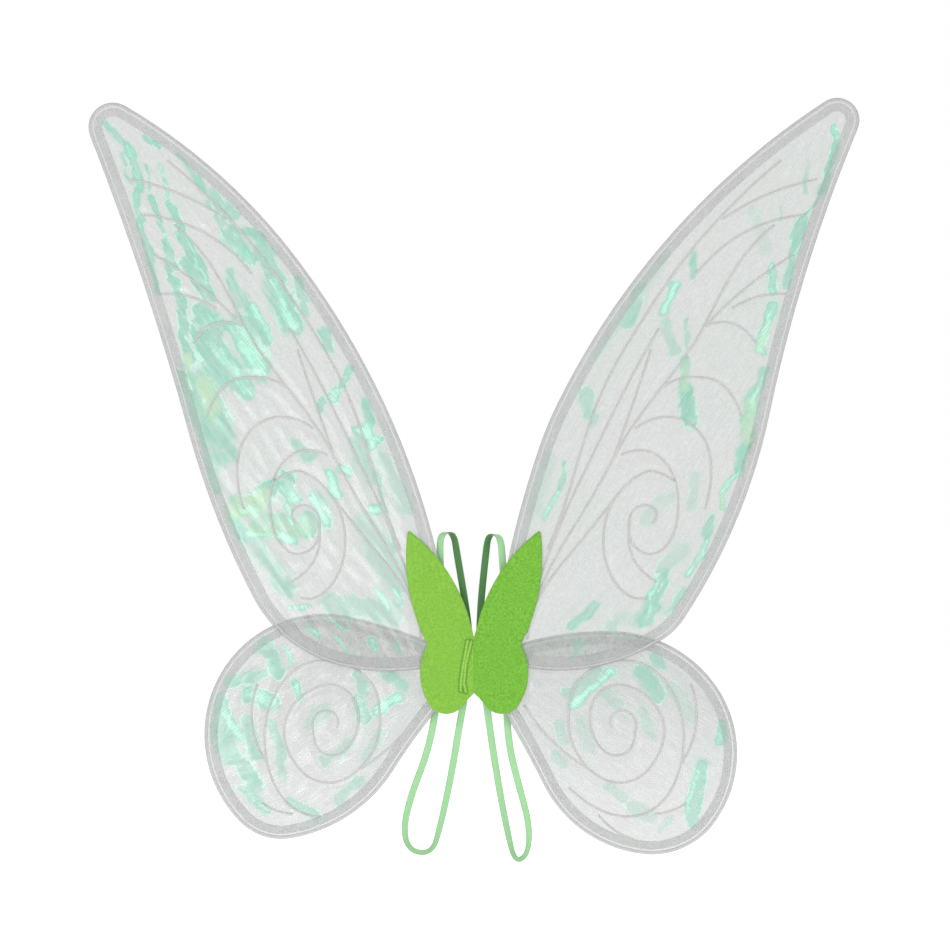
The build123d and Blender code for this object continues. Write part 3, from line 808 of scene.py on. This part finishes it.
def felt_material():
    """Lime felt: mottled, matted wool fibre."""
    if "lime_wool_felt" in bpy.data.materials:
        return bpy.data.materials["lime_wool_felt"]
    made = settings("wing_felt")
    material, n, shader = start_material("lime_wool_felt", Roughness=0.95, Sheen_Weight=0.35,
                                         Sheen_Roughness=0.5, Specular_IOR_Level=0.15)
    where = n.add("ShaderNodeTexCoord")
    broad = n.noise(where.outputs["Object"], (70, 70, 70), 3.0, 0.6)
    mottle = n.noise(where.outputs["Object"], (520, 520, 520), 4.0, 0.65)
    fibre = n.noise(where.outputs["Object"], (1900, 600, 700), 3.0, 0.6)
    dark = rgba([c * 0.78 for c in made.lime])
    light = rgba([min(1, c * 1.25 + 0.01) for c in made.lime])
    shade = n.blend(n.ramp(mottle, 0.3, 0.7), dark, light)
    shade = n.blend(n.sum("MULTIPLY", n.ramp(broad, 0.35, 0.7), 0.45), shade, rgba(made.lime))
    shade = n.blend(n.sum("MULTIPLY", n.ramp(fibre, 0.58, 0.75), 0.3), shade, (0.36, 0.68, 0.14, 1))
    # Painted light: the left half (x below 0) is painted lighter and yellower than the right.
    split = n.add("ShaderNodeSeparateXYZ")
    n.join(where.outputs["Object"], split.inputs[0])
    right_half = n.ramp(split.outputs[0], -0.0004, 0.0004)
    shade = n.blend(n.sum("MULTIPLY", n.sum("SUBTRACT", 1.0, right_half), 0.16), shade, (0.42, 0.62, 0.1, 1))
    # Painted light and shade along the creases: lighter on the ridge, painted shade in the groove beside it.
    crease = n.add("ShaderNodeAttribute", attribute_name="crease")
    shade = n.blend(n.ramp(crease.outputs["Fac"], 0.1, 0.9), shade, (0.4, 0.72, 0.18, 1))
    crease_shade = n.ramp(n.sum("MULTIPLY", crease.outputs["Fac"], -1.0), 0.1, 0.9)
    shade = n.blend(n.sum("MULTIPLY", crease_shade, 0.7), shade, rgba([c * 0.45 for c in made.lime]))
    n.join(shade, shader.inputs["Base Color"])
    height = n.sum("ADD", n.sum("MULTIPLY", mottle, 1.0), n.sum("MULTIPLY", fibre, 0.6))
    bump(n, shader, height, 0.0007, 0.7)
    return material


def strap_material():
    """Ribbed elastic, lighter on its face than on its back: the darker back is painted shade."""
    if "mint_elastic_band" in bpy.data.materials:
        return bpy.data.materials["mint_elastic_band"]
    made = settings("wing_strap")
    material, n, shader = start_material("mint_elastic_band", Roughness=0.5, Sheen_Weight=0.2)
    uv = n.add("ShaderNodeUVMap", uv_map="band")
    side = n.add("ShaderNodeAttribute", attribute_name="band_painted_lit")
    split = n.add("ShaderNodeSeparateXYZ")
    n.join(uv.outputs[0], split.inputs[0])
    rib_wave = n.sum("SINE", n.sum("MULTIPLY", split.outputs[1], FULL_TURN / BAND_RIB_SPACING))
    pick_wave = n.sum("SINE", n.sum("MULTIPLY", split.outputs[0], FULL_TURN / BAND_PICK_SPACING))
    ribs = n.sum("MULTIPLY_ADD", rib_wave, 0.5, 0.5)
    picks = n.sum("MULTIPLY_ADD", pick_wave, 0.5, 0.5)
    knit = n.sum("MULTIPLY", ribs, n.sum("MULTIPLY_ADD", picks, 0.5, 0.5))
    # Painted shade: the back of the band takes the darker back colour.
    shade = n.blend(side.outputs["Fac"], rgba(made.back), rgba(made.face))
    deep = n.blend(side.outputs["Fac"], rgba([c * 0.6 for c in made.back]),
                   rgba([c * 0.72 for c in made.face]))
    where = n.add("ShaderNodeTexCoord")
    shade = n.blend(n.sum("MULTIPLY", n.sum("SUBTRACT", 1.0, knit), 0.55), shade, deep)
    shade = n.blend(n.sum("MULTIPLY", n.noise(where.outputs["Object"], (60, 60, 60)), 0.25), shade, deep)
    n.join(shade, shader.inputs["Base Color"])
    bump(n, shader, knit, 0.0002, 0.6)
    return material


def wire_material():
    """Pale plastic coating on the frame wires."""
    made = settings("wing_hem")
    material, n, shader = start_material("coated_wire", Roughness=0.35, Coat_Weight=0.3)
    where = n.add("ShaderNodeTexCoord")
    patch = n.noise(where.outputs["Object"], (120, 120, 120), 3.0)
    shade = n.blend(patch, rgba([c * 0.85 for c in made.coating]), rgba(made.coating))
    n.join(shade, shader.inputs["Base Color"])
    bump(n, shader, n.noise(where.outputs["Object"], (900, 900, 900), 2.0), 0.00008, 0.4)
    return material


def tape_material():
    """White woven cloth tape."""
    if "cloth_tape" in bpy.data.materials:
        return bpy.data.materials["cloth_tape"]
    material, n, shader = start_material("cloth_tape", Roughness=0.8, Sheen_Weight=0.2)
    where = n.add("ShaderNodeTexCoord")
    turn = n.add("ShaderNodeMapping")
    turn.inputs["Rotation"].default_value = (math.radians(-90), 0, 0)
    n.join(where.outputs["Object"], turn.inputs["Vector"])
    weave = n.add("ShaderNodeGroup")
    weave.node_tree = weave_group()
    weave.inputs["Threads"].default_value = TAPE_THREADS
    n.join(turn.outputs[0], weave.inputs["Vector"])
    patch = n.noise(where.outputs["Object"], (150, 150, 150), 3.0)
    shade = n.blend(weave.outputs["Value"], (0.62, 0.62, 0.6, 1), (0.8, 0.8, 0.78, 1))
    shade = n.blend(n.sum("MULTIPLY", patch, 0.3), shade, (0.55, 0.56, 0.53, 1))
    n.join(shade, shader.inputs["Base Color"])
    bump(n, shader, weave.outputs["Height"], 0.0002, 0.6)
    return material


def thread_material():
    """Twisted sewing thread."""
    material, n, shader = start_material("green_thread", Roughness=0.6, Sheen_Weight=0.2)
    where = n.add("ShaderNodeTexCoord")
    twist = n.noise(where.outputs["Object"], (2600, 2600, 900), 2.0)
    shade = n.blend(twist, (0.04, 0.22, 0.05, 1), (0.12, 0.45, 0.1, 1))
    n.join(shade, shader.inputs["Base Color"])
    bump(n, shader, twist, 0.0001, 0.6)
    return material


# Pieces


class WINGS_OT_stage(bpy.types.Operator):
    """Set the camera, the soft studio light and the pale floor"""

    bl_idname = "wings.stage"
    bl_label = "Stage"

    def execute(self, context):
        made = settings("wing_stage")
        scene = context.scene
        low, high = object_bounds()
        centre = (low + high) / 2
        deselect()
        bpy.ops.object.camera_add()
        camera = context.object
        camera.name = "view_camera"
        camera.data.lens = made.lens
        camera.data.sensor_width = 36.0
        distance = made.frame_width * made.lens / camera.data.sensor_width
        camera.location = (centre.x + 0.0009, centre.y - distance, centre.z + 0.0055)
        camera.rotation_euler = (math.radians(90), 0, 0)
        scene.camera = camera

        deselect()
        bpy.ops.mesh.primitive_plane_add(size=9, location=(0, 0, low.z - 0.11))
        floor = context.object
        floor.name = "pale_floor"
        material, n, shader = start_material("pale_floor_paint", Roughness=0.9)
        where = n.add("ShaderNodeTexCoord")
        shade = n.blend(n.noise(where.outputs["Object"], (3, 3, 3)), (0.93, 0.93, 0.93, 1),
                        (0.96, 0.96, 0.96, 1))
        n.join(shade, shader.inputs["Base Color"])
        shader.inputs["Emission Color"].default_value = (1, 1, 1, 1)
        shader.inputs["Emission Strength"].default_value = 0.55
        floor.data.materials.append(material)
        floor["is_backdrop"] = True

        for name, place, size, power in (
            ("key_light", (-1.4, -1.7, 1.9), 0.9, made.key),
            ("fill_light", (1.6, -1.8, 0.9), 1.4, made.key * 0.5),
            ("rim_light", (0.9, 1.3, 1.6), 1.0, made.key * 0.5),
            ("low_light", (-0.5, -1.5, -0.15), 0.5, made.key * 0.2),
        ):
            deselect()
            bpy.ops.object.light_add(type="AREA", location=place)
            light = context.object
            light.name = name
            light.data.size = size
            light.data.energy = power
            aim = Vector((0, 0, centre.z)) - Vector(place)
            light.rotation_euler = aim.to_track_quat("-Z", "Y").to_euler()

        world = bpy.data.worlds.new("white_studio")
        scene.world = world
        world.use_nodes = True
        n = Nodes(world.node_tree)
        sky = world.node_tree.nodes["Background"]
        sky.inputs["Color"].default_value = (1, 1, 1, 1)
        seen = n.add("ShaderNodeLightPath")
        strength = n.sum("MULTIPLY_ADD", seen.outputs["Is Camera Ray"], 1.0 - made.sky, made.sky)
        n.join(strength, sky.inputs["Strength"])
        scene.view_settings.view_transform = "Standard"
        scene.cycles.transparent_max_bounces = 24
        return {"FINISHED"}


def nurbs_line(name, points):
    """The dense points of a smooth spline through a route, read from a curve with no bevel."""
    curve = bpy.data.curves.new(name, "CURVE")
    curve.dimensions = "3D"
    curve.resolution_u = 14
    spline = curve.splines.new("NURBS")
    spline.points.add(len(points) - 1)
    for point, place in zip(spline.points, points):
        point.co = (*place, 1)
    spline.order_u = 3
    spline.use_endpoint_u = True
    carrier = bpy.data.objects.new(name, curve)
    bpy.context.scene.collection.objects.link(carrier)
    bpy.context.view_layer.update()
    mesh = bpy.data.meshes.new_from_object(carrier)
    line = np.array([tuple(v.co) for v in mesh.vertices])
    bpy.data.objects.remove(carrier)
    bpy.data.curves.remove(curve)
    bpy.data.meshes.remove(mesh)
    return line


class WINGS_OT_straps(bpy.types.Operator):
    """Lay the two elastic arm loops along their routes"""

    bl_idname = "wings.straps"
    bl_label = "Arm loops"

    def execute(self, context):
        made = settings("wing_strap")
        material = strap_material()
        for side, (route, length) in STRAPS.items():
            places = [(x / 1000, -depth / 1000, z / 1000) for x, depth, z, _ in route]
            line = nurbs_line(f"{side}_strap_route", places)
            last = len(route) - 2
            knots = [0] + [i - 0.5 for i in range(1, last + 1)] + [last]
            turns = np.interp(np.linspace(0, last, len(line)), knots, [p[3] for p in route])
            fresh = np.linalg.norm(np.diff(line, axis=0, prepend=line[:1] - 1), axis=1) > SAME_POINT
            line, turns = line[fresh], turns[fresh]
            tangents = np.gradient(line, axis=0)
            run = np.concatenate([[0], np.cumsum(np.linalg.norm(np.diff(line, axis=0), axis=1))])
            rings, places_uv, painted_lit_faces = [], [], []
            half, thick = made.width / 2, made.thickness / 2
            # The band's section: across, through, and how lit each point is painted, 1 on the face and 0 on
            # the back, which is painted shade.
            section = ((-1, 0.35, 0), (-0.9, 0.85, 0.5), (-0.5, 1, 1), (0, 1, 1), (0.5, 1, 1),
                       (0.9, 0.85, 0.5), (1, 0.35, 0), (1, -0.35, 0), (0.9, -0.85, 0), (0.5, -1, 0),
                       (0, -1, 0), (-0.5, -1, 0), (-0.9, -0.85, 0), (-1, -0.35, 0))
            for point, tangent, turn, s in zip(line, tangents, turns, run):
                ahead = Vector(tangent).normalized()
                front = Vector((0, -1, 0))
                front = (front - ahead * front.dot(ahead)).normalized()
                aside = ahead.cross(front)
                angle = math.radians(turn)
                normal = front * math.cos(angle) + aside * math.sin(angle)
                across = ahead.cross(normal)
                rings.append([tuple(Vector(point) + across * (u * half) + normal * (v * thick))
                              for u, v, _ in section])
                places_uv += [(s, u * half) for u, _, _ in section]
                painted_lit_faces += [1.0 if lit > 0.4 else 0.0 for _, _, lit in section]
            points, faces = loft(rings)
            mesh = mesh_from(f"{side}_arm_loop", points, faces)
            store_uv(mesh, "band", places_uv)
            layer = mesh.attributes.new("band_painted_lit", "FLOAT", "POINT")
            layer.data.foreach_set("value", np.asarray(painted_lit_faces, np.float32))
            outward(mesh)
            band = finish_piece(f"{side}_arm_loop", mesh, material, "hub")
            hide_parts(f"{side}_strap")
        return {"FINISHED"}


def outward(mesh):
    """Turn a closed mesh's faces to point out."""
    bm = bmesh.new()
    bm.from_mesh(mesh)
    bmesh.ops.recalc_face_normals(bm, faces=bm.faces)
    bm.to_mesh(mesh)
    bm.free()


class WINGS_OT_film(bpy.types.Operator):
    """Stretch the crinkled film, and the organza behind it, over each wing"""

    bl_idname = "wings.film"
    bl_label = "Film and mesh"

    def execute(self, context):
        made = settings("wing_film")
        hem = settings("wing_hem")
        for wing in WINGS:
            node = f"{wing}_film"
            front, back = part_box(node)[0].y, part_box(f"{wing}_mesh")[1].y
            points, triangles, _ = filled(outline_of(node), made.cell)
            edge = spaced(outline_of(node), made.cell, closed=True)
            inner = distance_to(points, edge) - (hem.width - HEM_OUT)
            height = crinkle_height(points, wing, vein_tree(wing), np.maximum(inner, 0))
            sheen = sheen_at(points, wing)
            for layer, depth, material, slot in (
                ("film", front + SHEET_HALF / 2, film_material(1.0 if "upper" in wing else 0.35),
                 "iridescent_film"),
                ("mesh", back - SHEET_HALF / 2, mesh_material(), "organza"),
            ):
                placed = [(x, depth - made.crinkle * h, z) for (x, z), h in zip(points, height)]
                mesh = mesh_from(f"{wing}_{layer}_sheet", placed, triangles)
                face_forward(mesh)
                store_uv(mesh, "wing_axis", along_wing(points, wing))
                if layer == "film":
                    store_colours(mesh, "sheen", sheen)
                sheet = finish_piece(f"{wing}_{layer}_sheet", mesh, material, WING_BODY[wing])
                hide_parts(f"{wing}_{layer}")
        return {"FINISHED"}


def face_forward(mesh):
    """Turn an open sheet's faces to the front."""
    bm = bmesh.new()
    bm.from_mesh(mesh)
    flipped = [f for f in bm.faces if f.normal.y > 0]
    bmesh.ops.reverse_faces(bm, faces=flipped)
    bm.to_mesh(mesh)
    bm.free()


class WINGS_OT_veins(bpy.types.Operator):
    """Raise the veins as rounded ridges on the film"""

    bl_idname = "wings.veins"
    bl_label = "Veins"

    def execute(self, context):
        material = vein_material()
        for wing in WINGS:
            node = f"{wing}_veins"
            bm = merged_copy(node)
            top = front_faces(bm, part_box(node)[0].y)
            bmesh.ops.inset_region(bm, faces=top, thickness=VEIN_ROUNDING, depth=VEIN_ROUNDING,
                                   use_boundary=True, use_even_offset=False)
            mesh = bpy.data.meshes.new(f"{wing}_raised_veins")
            bm.to_mesh(mesh)
            bm.free()
            mesh.polygons.foreach_set("use_smooth", [True] * len(mesh.polygons))
            piece = finish_piece(f"{wing}_raised_veins", mesh, material, WING_BODY[wing])
            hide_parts(node)
        return {"FINISHED"}


# The hem's section: distance in from the outer edge and height off the middle, in millimetres
HEM_FRONT = (
    (0.0, 0.3), (0.45, 0.62), (0.9, 1.15), (1.5, 1.55), (2.2, 1.68), (2.9, 1.55), (3.5, 1.1), (4.0, 0.72),
    (4.5, 0.42), (5.0, 0.8), (5.5, 0.86), (6.0, 0.5), (6.6, 0.82), (7.1, 0.86), (7.6, 0.5), (8.2, 0.82),
    (8.7, 0.86), (9.2, 0.5), (9.8, 0.8), (10.4, 0.84), (10.9, 0.48), (11.4, 0.74), (12.0, 0.3),
)
HEM_BACK = (
    (12.0, -0.3), (11.4, -0.7), (9.2, -0.72), (7.6, -0.55), (6.0, -0.72), (4.5, -0.5), (3.5, -1.1),
    (2.9, -1.55), (2.2, -1.68), (1.5, -1.55), (0.9, -1.15), (0.45, -0.62), (0.0, -0.3),
)


class WINGS_OT_hems(bpy.types.Operator):
    """Fold the hems over the wires, with their rows of pressed lines"""

    bl_idname = "wings.hems"
    bl_label = "Hems"

    def execute(self, context):
        made = settings("wing_hem")
        material = hem_material()
        section = HEM_FRONT + HEM_BACK
        for wing in WINGS:
            ring = outline_of(f"{wing}_film")
            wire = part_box(f"{wing}_wire")
            middle = (wire[0].y + wire[1].y) / 2
            gaps = np.abs((ring + np.roll(ring, -1, axis=0))[:, 0])
            gap = int(np.argmin(gaps))
            chain = np.roll(ring, -gap - 1, axis=0)
            line = spaced(chain, made.step)
            tangents = np.gradient(line, axis=0)
            tangents /= np.linalg.norm(tangents, axis=1)[:, None]
            inward = np.stack([-tangents[:, 1], tangents[:, 0]], axis=1)
            area = np.sum(chain[:, 0] * np.roll(chain[:, 1], -1) - np.roll(chain[:, 0], -1) * chain[:, 1])
            if area < 0:
                inward = -inward
            run = np.arange(len(line)) * made.step
            far = np.abs(run[:, None] - run[None, :]) > 0.06
            between = np.linalg.norm(line[:, None, :] - line[None, :, :], axis=2)
            room = np.where(far, between, 9).min(1)
            reach = np.minimum(made.width - HEM_OUT, room * 0.48)
            ripple = noise_at(line, (0.02, 0.02), 4.4) * 0.00012
            rings, places = [], []
            for point, side, s, deep, lift in zip(line, inward, run, reach, ripple):
                ring_points = []
                for across, high in section:
                    offset = across / 1000 * (made.width / HEM_WIDTH_DRAWN) - HEM_OUT
                    if offset > 0:
                        offset *= deep / (made.width - HEM_OUT)
                    x, z = point + side * offset
                    ring_points.append((x, middle - high / 1000 - lift, z))
                    places.append((s, across / 1000))
                rings.append(ring_points)
            points, faces = loft(rings)
            mesh = mesh_from(f"{wing}_hem_band", points, faces)
            store_uv(mesh, "hem", places)
            store_colours(mesh, "sheen", sheen_at(points[:, ::2], wing))
            outward(mesh)
            band = finish_piece(f"{wing}_hem_band", mesh, material, WING_BODY[wing])
            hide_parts(f"{wing}_hem")
        return {"FINISHED"}


def crease_distance(points):
    """Each point's distance to the nearer pressed crease in the felt."""
    best = np.full(len(points), 1.0)
    for crease in CREASES:
        line = spaced(np.array(crease), 0.0005)
        best = np.minimum(best, distance_to(points, line))
    return best


def felt_outline(side):
    """The outline of one half of the felt cover, carried to the middle, as (x, z) points."""
    ring = outline_of(f"{side}_front_cover")
    inner = np.abs(ring[:, 0]) < np.abs(ring[:, 0]).min() + 1e-5
    spots = np.nonzero(inner)[0]
    high, low = max(spots, key=lambda i: ring[i, 1]), min(spots, key=lambda i: ring[i, 1])
    bridge = [(0.0, NOTCH_TOP), (0.0, NOTCH_FOOT)]
    if (high + 1) % len(ring) == low:
        return np.vstack([ring[:high + 1], bridge, ring[high + 1:]])
    return np.vstack([ring[:low + 1], bridge[::-1], ring[low + 1:]])


def felt_slab(name, ring, cell, middle, thickness, lift, rounding):
    """A slab of felt with soft edges: its front stands off by lift at each point."""
    points, triangles, edge_count = filled(ring, cell)
    edge = spaced(ring, cell / 2, closed=True)
    inset = distance_to(points, edge[np.abs(edge[:, 0]) > 0.0001])
    soft = np.sqrt(np.clip(1 - (1 - np.clip(inset / rounding, 0, 1)) ** 2, 0, 1))
    half = thickness / 2 * (0.35 + 0.65 * soft)
    raised = lift(points, inset)
    count = len(points)
    front = [(x, middle - h - r, z) for (x, z), h, r in zip(points, half, raised)]
    back = [(x, middle + h, z) for (x, z), h in zip(points, half)]
    faces = [tuple(t) for t in triangles] + [tuple(count + i for i in reversed(t)) for t in triangles]
    faces += [(i, (i + 1) % edge_count, count + (i + 1) % edge_count, count + i) for i in range(edge_count)]
    mesh = mesh_from(name, front + back, faces)
    outward(mesh)
    return mesh


class WINGS_OT_felt(bpy.types.Operator):
    """Cut the felt covers: two front halves and the back pad"""

    bl_idname = "wings.felt"
    bl_label = "Felt covers"

    def execute(self, context):
        made = settings("wing_felt")
        material = felt_material()
        for side in SIDES:
            low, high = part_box(f"{side}_front_cover")
            middle = (low.y + high.y) / 2

            def lift(points, inset):
                crown = 0.0009 * smooth(0, 0.018, inset)
                dents = 0.0003 * noise_at(points, (0.012, 0.012), 7.7) * smooth(0, 0.004, inset)
                fold = crease_distance(points)
                ridge = 0.0012 * np.exp(-(fold / 0.0008) ** 2)
                ridge -= 0.0005 * np.exp(-((fold - 0.0018) / 0.0008) ** 2)
                pile = 0.00008 * noise_at(points, (0.0018, 0.0018), 2.2)
                return crown + dents + ridge * smooth(0, 0.002, inset) + pile

            mesh = felt_slab(f"{side}_felt_cover", felt_outline(side), made.cell, middle, made.thickness,
                             lift, 0.0011)
            places = np.array([(v.co.x, v.co.z) for v in mesh.vertices])
            # Painted light and shade for the creases: positive on the ridge, negative in the groove beside
            # it.
            fold = crease_distance(places)
            crease_light_and_shade = np.exp(-(fold / 0.0007) ** 2) - np.exp(-((fold - 0.0017) / 0.0008) ** 2)
            layer = mesh.attributes.new("crease", "FLOAT", "POINT")
            layer.data.foreach_set("value", crease_light_and_shade.astype(np.float32))
            cover = finish_piece(f"{side}_felt_cover", mesh, material, None)
            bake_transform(cover)
            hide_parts(f"{side}_front_cover", "front_cover_fold")

        low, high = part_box("back_cover")
        ring = outline_of("back_cover")

        def flat_lift(points, inset):
            return 0.00005 * noise_at(points, (0.003, 0.003), 5.5)

        mesh = felt_slab("back_pad", ring, made.cell, (low.y + high.y) / 2, high.y - low.y, flat_lift, 0.001)
        pad = finish_piece("back_pad", mesh, material, "hub")
        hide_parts("back_cover")
        return {"FINISHED"}


def taped_block(name, node, turns):
    """A rounded block wound with flat tape: each turn of the tape is a shallow step up the block."""
    low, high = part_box(node)
    centre, size = (low + high) / 2, (high - low) / 2
    corner = min(size.x, size.y) * 0.45
    rings = []
    rows = turns * 6
    for row in range(rows + 1):
        t = row / rows
        z = low.z + (high.z - low.z) * t
        step = (t * turns) % 1
        swell = 1 - 0.00025 / size.x * (1 - step) if 0 < row < rows else 0.9
        ring = []
        for corner_x, corner_y, start in ((1, 1, 0), (-1, 1, 90), (-1, -1, 180), (1, -1, 270)):
            for bit in range(5):
                angle = math.radians(start + bit * 22.5)
                x = corner_x * (size.x - corner) + corner * math.cos(angle)
                y = corner_y * (size.y - corner) + corner * math.sin(angle)
                ring.append((centre.x + x * swell, centre.y + y * swell, z))
        rings.append(ring)
    points, faces = loft(rings)
    mesh = mesh_from(name, points, faces, smooth_faces=False)
    outward(mesh)
    return mesh


class WINGS_OT_bindings(bpy.types.Operator):
    """Wind the tape round the wires' roots and the hub, and sew the elastic down"""

    bl_idname = "wings.bindings"
    bl_label = "Tape and stitches"

    def execute(self, context):
        tape = tape_material()
        for node, name, body, turns in (
            ("left_root_binding", "left_taped_root", "left_wings", 7),
            ("right_root_binding", "right_taped_root", "right_wings", 7),
            ("centre_binding", "centre_tape", "hub", 6),
        ):
            piece = finish_piece(name, taped_block(name, node, turns), tape, body)
            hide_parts(node)

        bm = merged_copy("strap_tacks")
        islands, left = [], set(bm.verts)
        for first in bm.verts:
            if first not in left:
                continue
            left.remove(first)
            group, stack = [], [first]
            while stack:
                vert = stack.pop()
                group.append(vert.co.copy())
                for edge in vert.link_edges:
                    other = edge.other_vert(vert)
                    if other in left:
                        left.remove(other)
                        stack.append(other)
            islands.append(group)
        bm.free()
        points, faces = [], []
        for group in islands:
            low = Vector([min(c[i] for c in group) for i in range(3)])
            high = Vector([max(c[i] for c in group) for i in range(3)])
            radius = (high.z - low.z) / 2
            rings = []
            for bit in range(TACK_STEPS + 1):
                t = bit / TACK_STEPS
                x = low.x + (high.x - low.x) * t
                arch = math.sin(math.pi * t)
                thin = 0.55 + 0.45 * min(1, arch * 2)
                centre = ((low.y + high.y) / 2 + 0.0002 * (1 - arch), (low.z + high.z) / 2)
                rings.append([
                    (x, centre[0] + 0.00026 * thin * math.cos(a),
                     centre[1] + radius * 0.62 * thin * math.sin(a))
                    for a in [2 * math.pi * k / TACK_SIDES for k in range(TACK_SIDES)]
                ])
            ring_points, ring_faces = loft(rings)
            base = len(points)
            points += [tuple(p) for p in ring_points]
            faces += [tuple(base + i for i in f) for f in ring_faces]
        mesh = mesh_from("sewn_tacks", points, faces)
        outward(mesh)
        piece = finish_piece("sewn_tacks", mesh, thread_material(), "hub")
        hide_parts("strap_tacks")
        return {"FINISHED"}


class WINGS_OT_wires(bpy.types.Operator):
    """Coat the frame wires"""

    bl_idname = "wings.wires"
    bl_label = "Wires"

    def execute(self, context):
        material = wire_material()
        for wing in WINGS:
            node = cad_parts[f"{wing}_wire"]
            node.data.materials.clear()
            node.data.materials.append(material)
        return {"FINISHED"}


class WINGS_PT_panel(bpy.types.Panel):
    """The pieces of the fairy wings and their sizes and colours"""

    bl_idname = "WINGS_PT_panel"
    bl_label = "Fairy Wings"
    bl_space_type = "VIEW_3D"
    bl_region_type = "UI"
    bl_category = "Fairy Wings"

    def draw(self, context):
        layout = self.layout
        for step in STEPS:
            layout.operator(step.bl_idname)
        for name, group in GROUPS.items():
            box = layout.box()
            box.label(text=group.__doc__)
            held = getattr(context.scene, name)
            for key in group.__annotations__:
                box.prop(held, key)


GROUPS = {
    "wing_stage": StageSettings,
    "wing_strap": StrapSettings,
    "wing_film": FilmSettings,
    "wing_hem": HemSettings,
    "wing_felt": FeltSettings,
}
STEPS = (
    WINGS_OT_stage,
    WINGS_OT_straps,
    WINGS_OT_hems,
    WINGS_OT_film,
    WINGS_OT_veins,
    WINGS_OT_wires,
    WINGS_OT_bindings,
    WINGS_OT_felt,
)


def register():
    """Add the settings, the operators and the panel."""
    for group in GROUPS.values():
        bpy.utils.register_class(group)
    for step in STEPS:
        bpy.utils.register_class(step)
    bpy.utils.register_class(WINGS_PT_panel)
    for name, group in GROUPS.items():
        setattr(bpy.types.Scene, name, PointerProperty(type=group))


def unregister():
    """Take the settings, the operators and the panel away."""
    for name in GROUPS:
        delattr(bpy.types.Scene, name)
    bpy.utils.unregister_class(WINGS_PT_panel)
    for step in reversed(STEPS):
        bpy.utils.unregister_class(step)
    for group in GROUPS.values():
        bpy.utils.unregister_class(group)


def main():
    """Make every piece in order."""
    register()
    bpy.ops.wings.stage()
    bpy.ops.wings.straps()
    bpy.ops.wings.hems()
    bpy.ops.wings.film()
    bpy.ops.wings.veins()
    bpy.ops.wings.wires()
    bpy.ops.wings.bindings()
    bpy.ops.wings.felt()


if __name__ == "__main__":
    main()
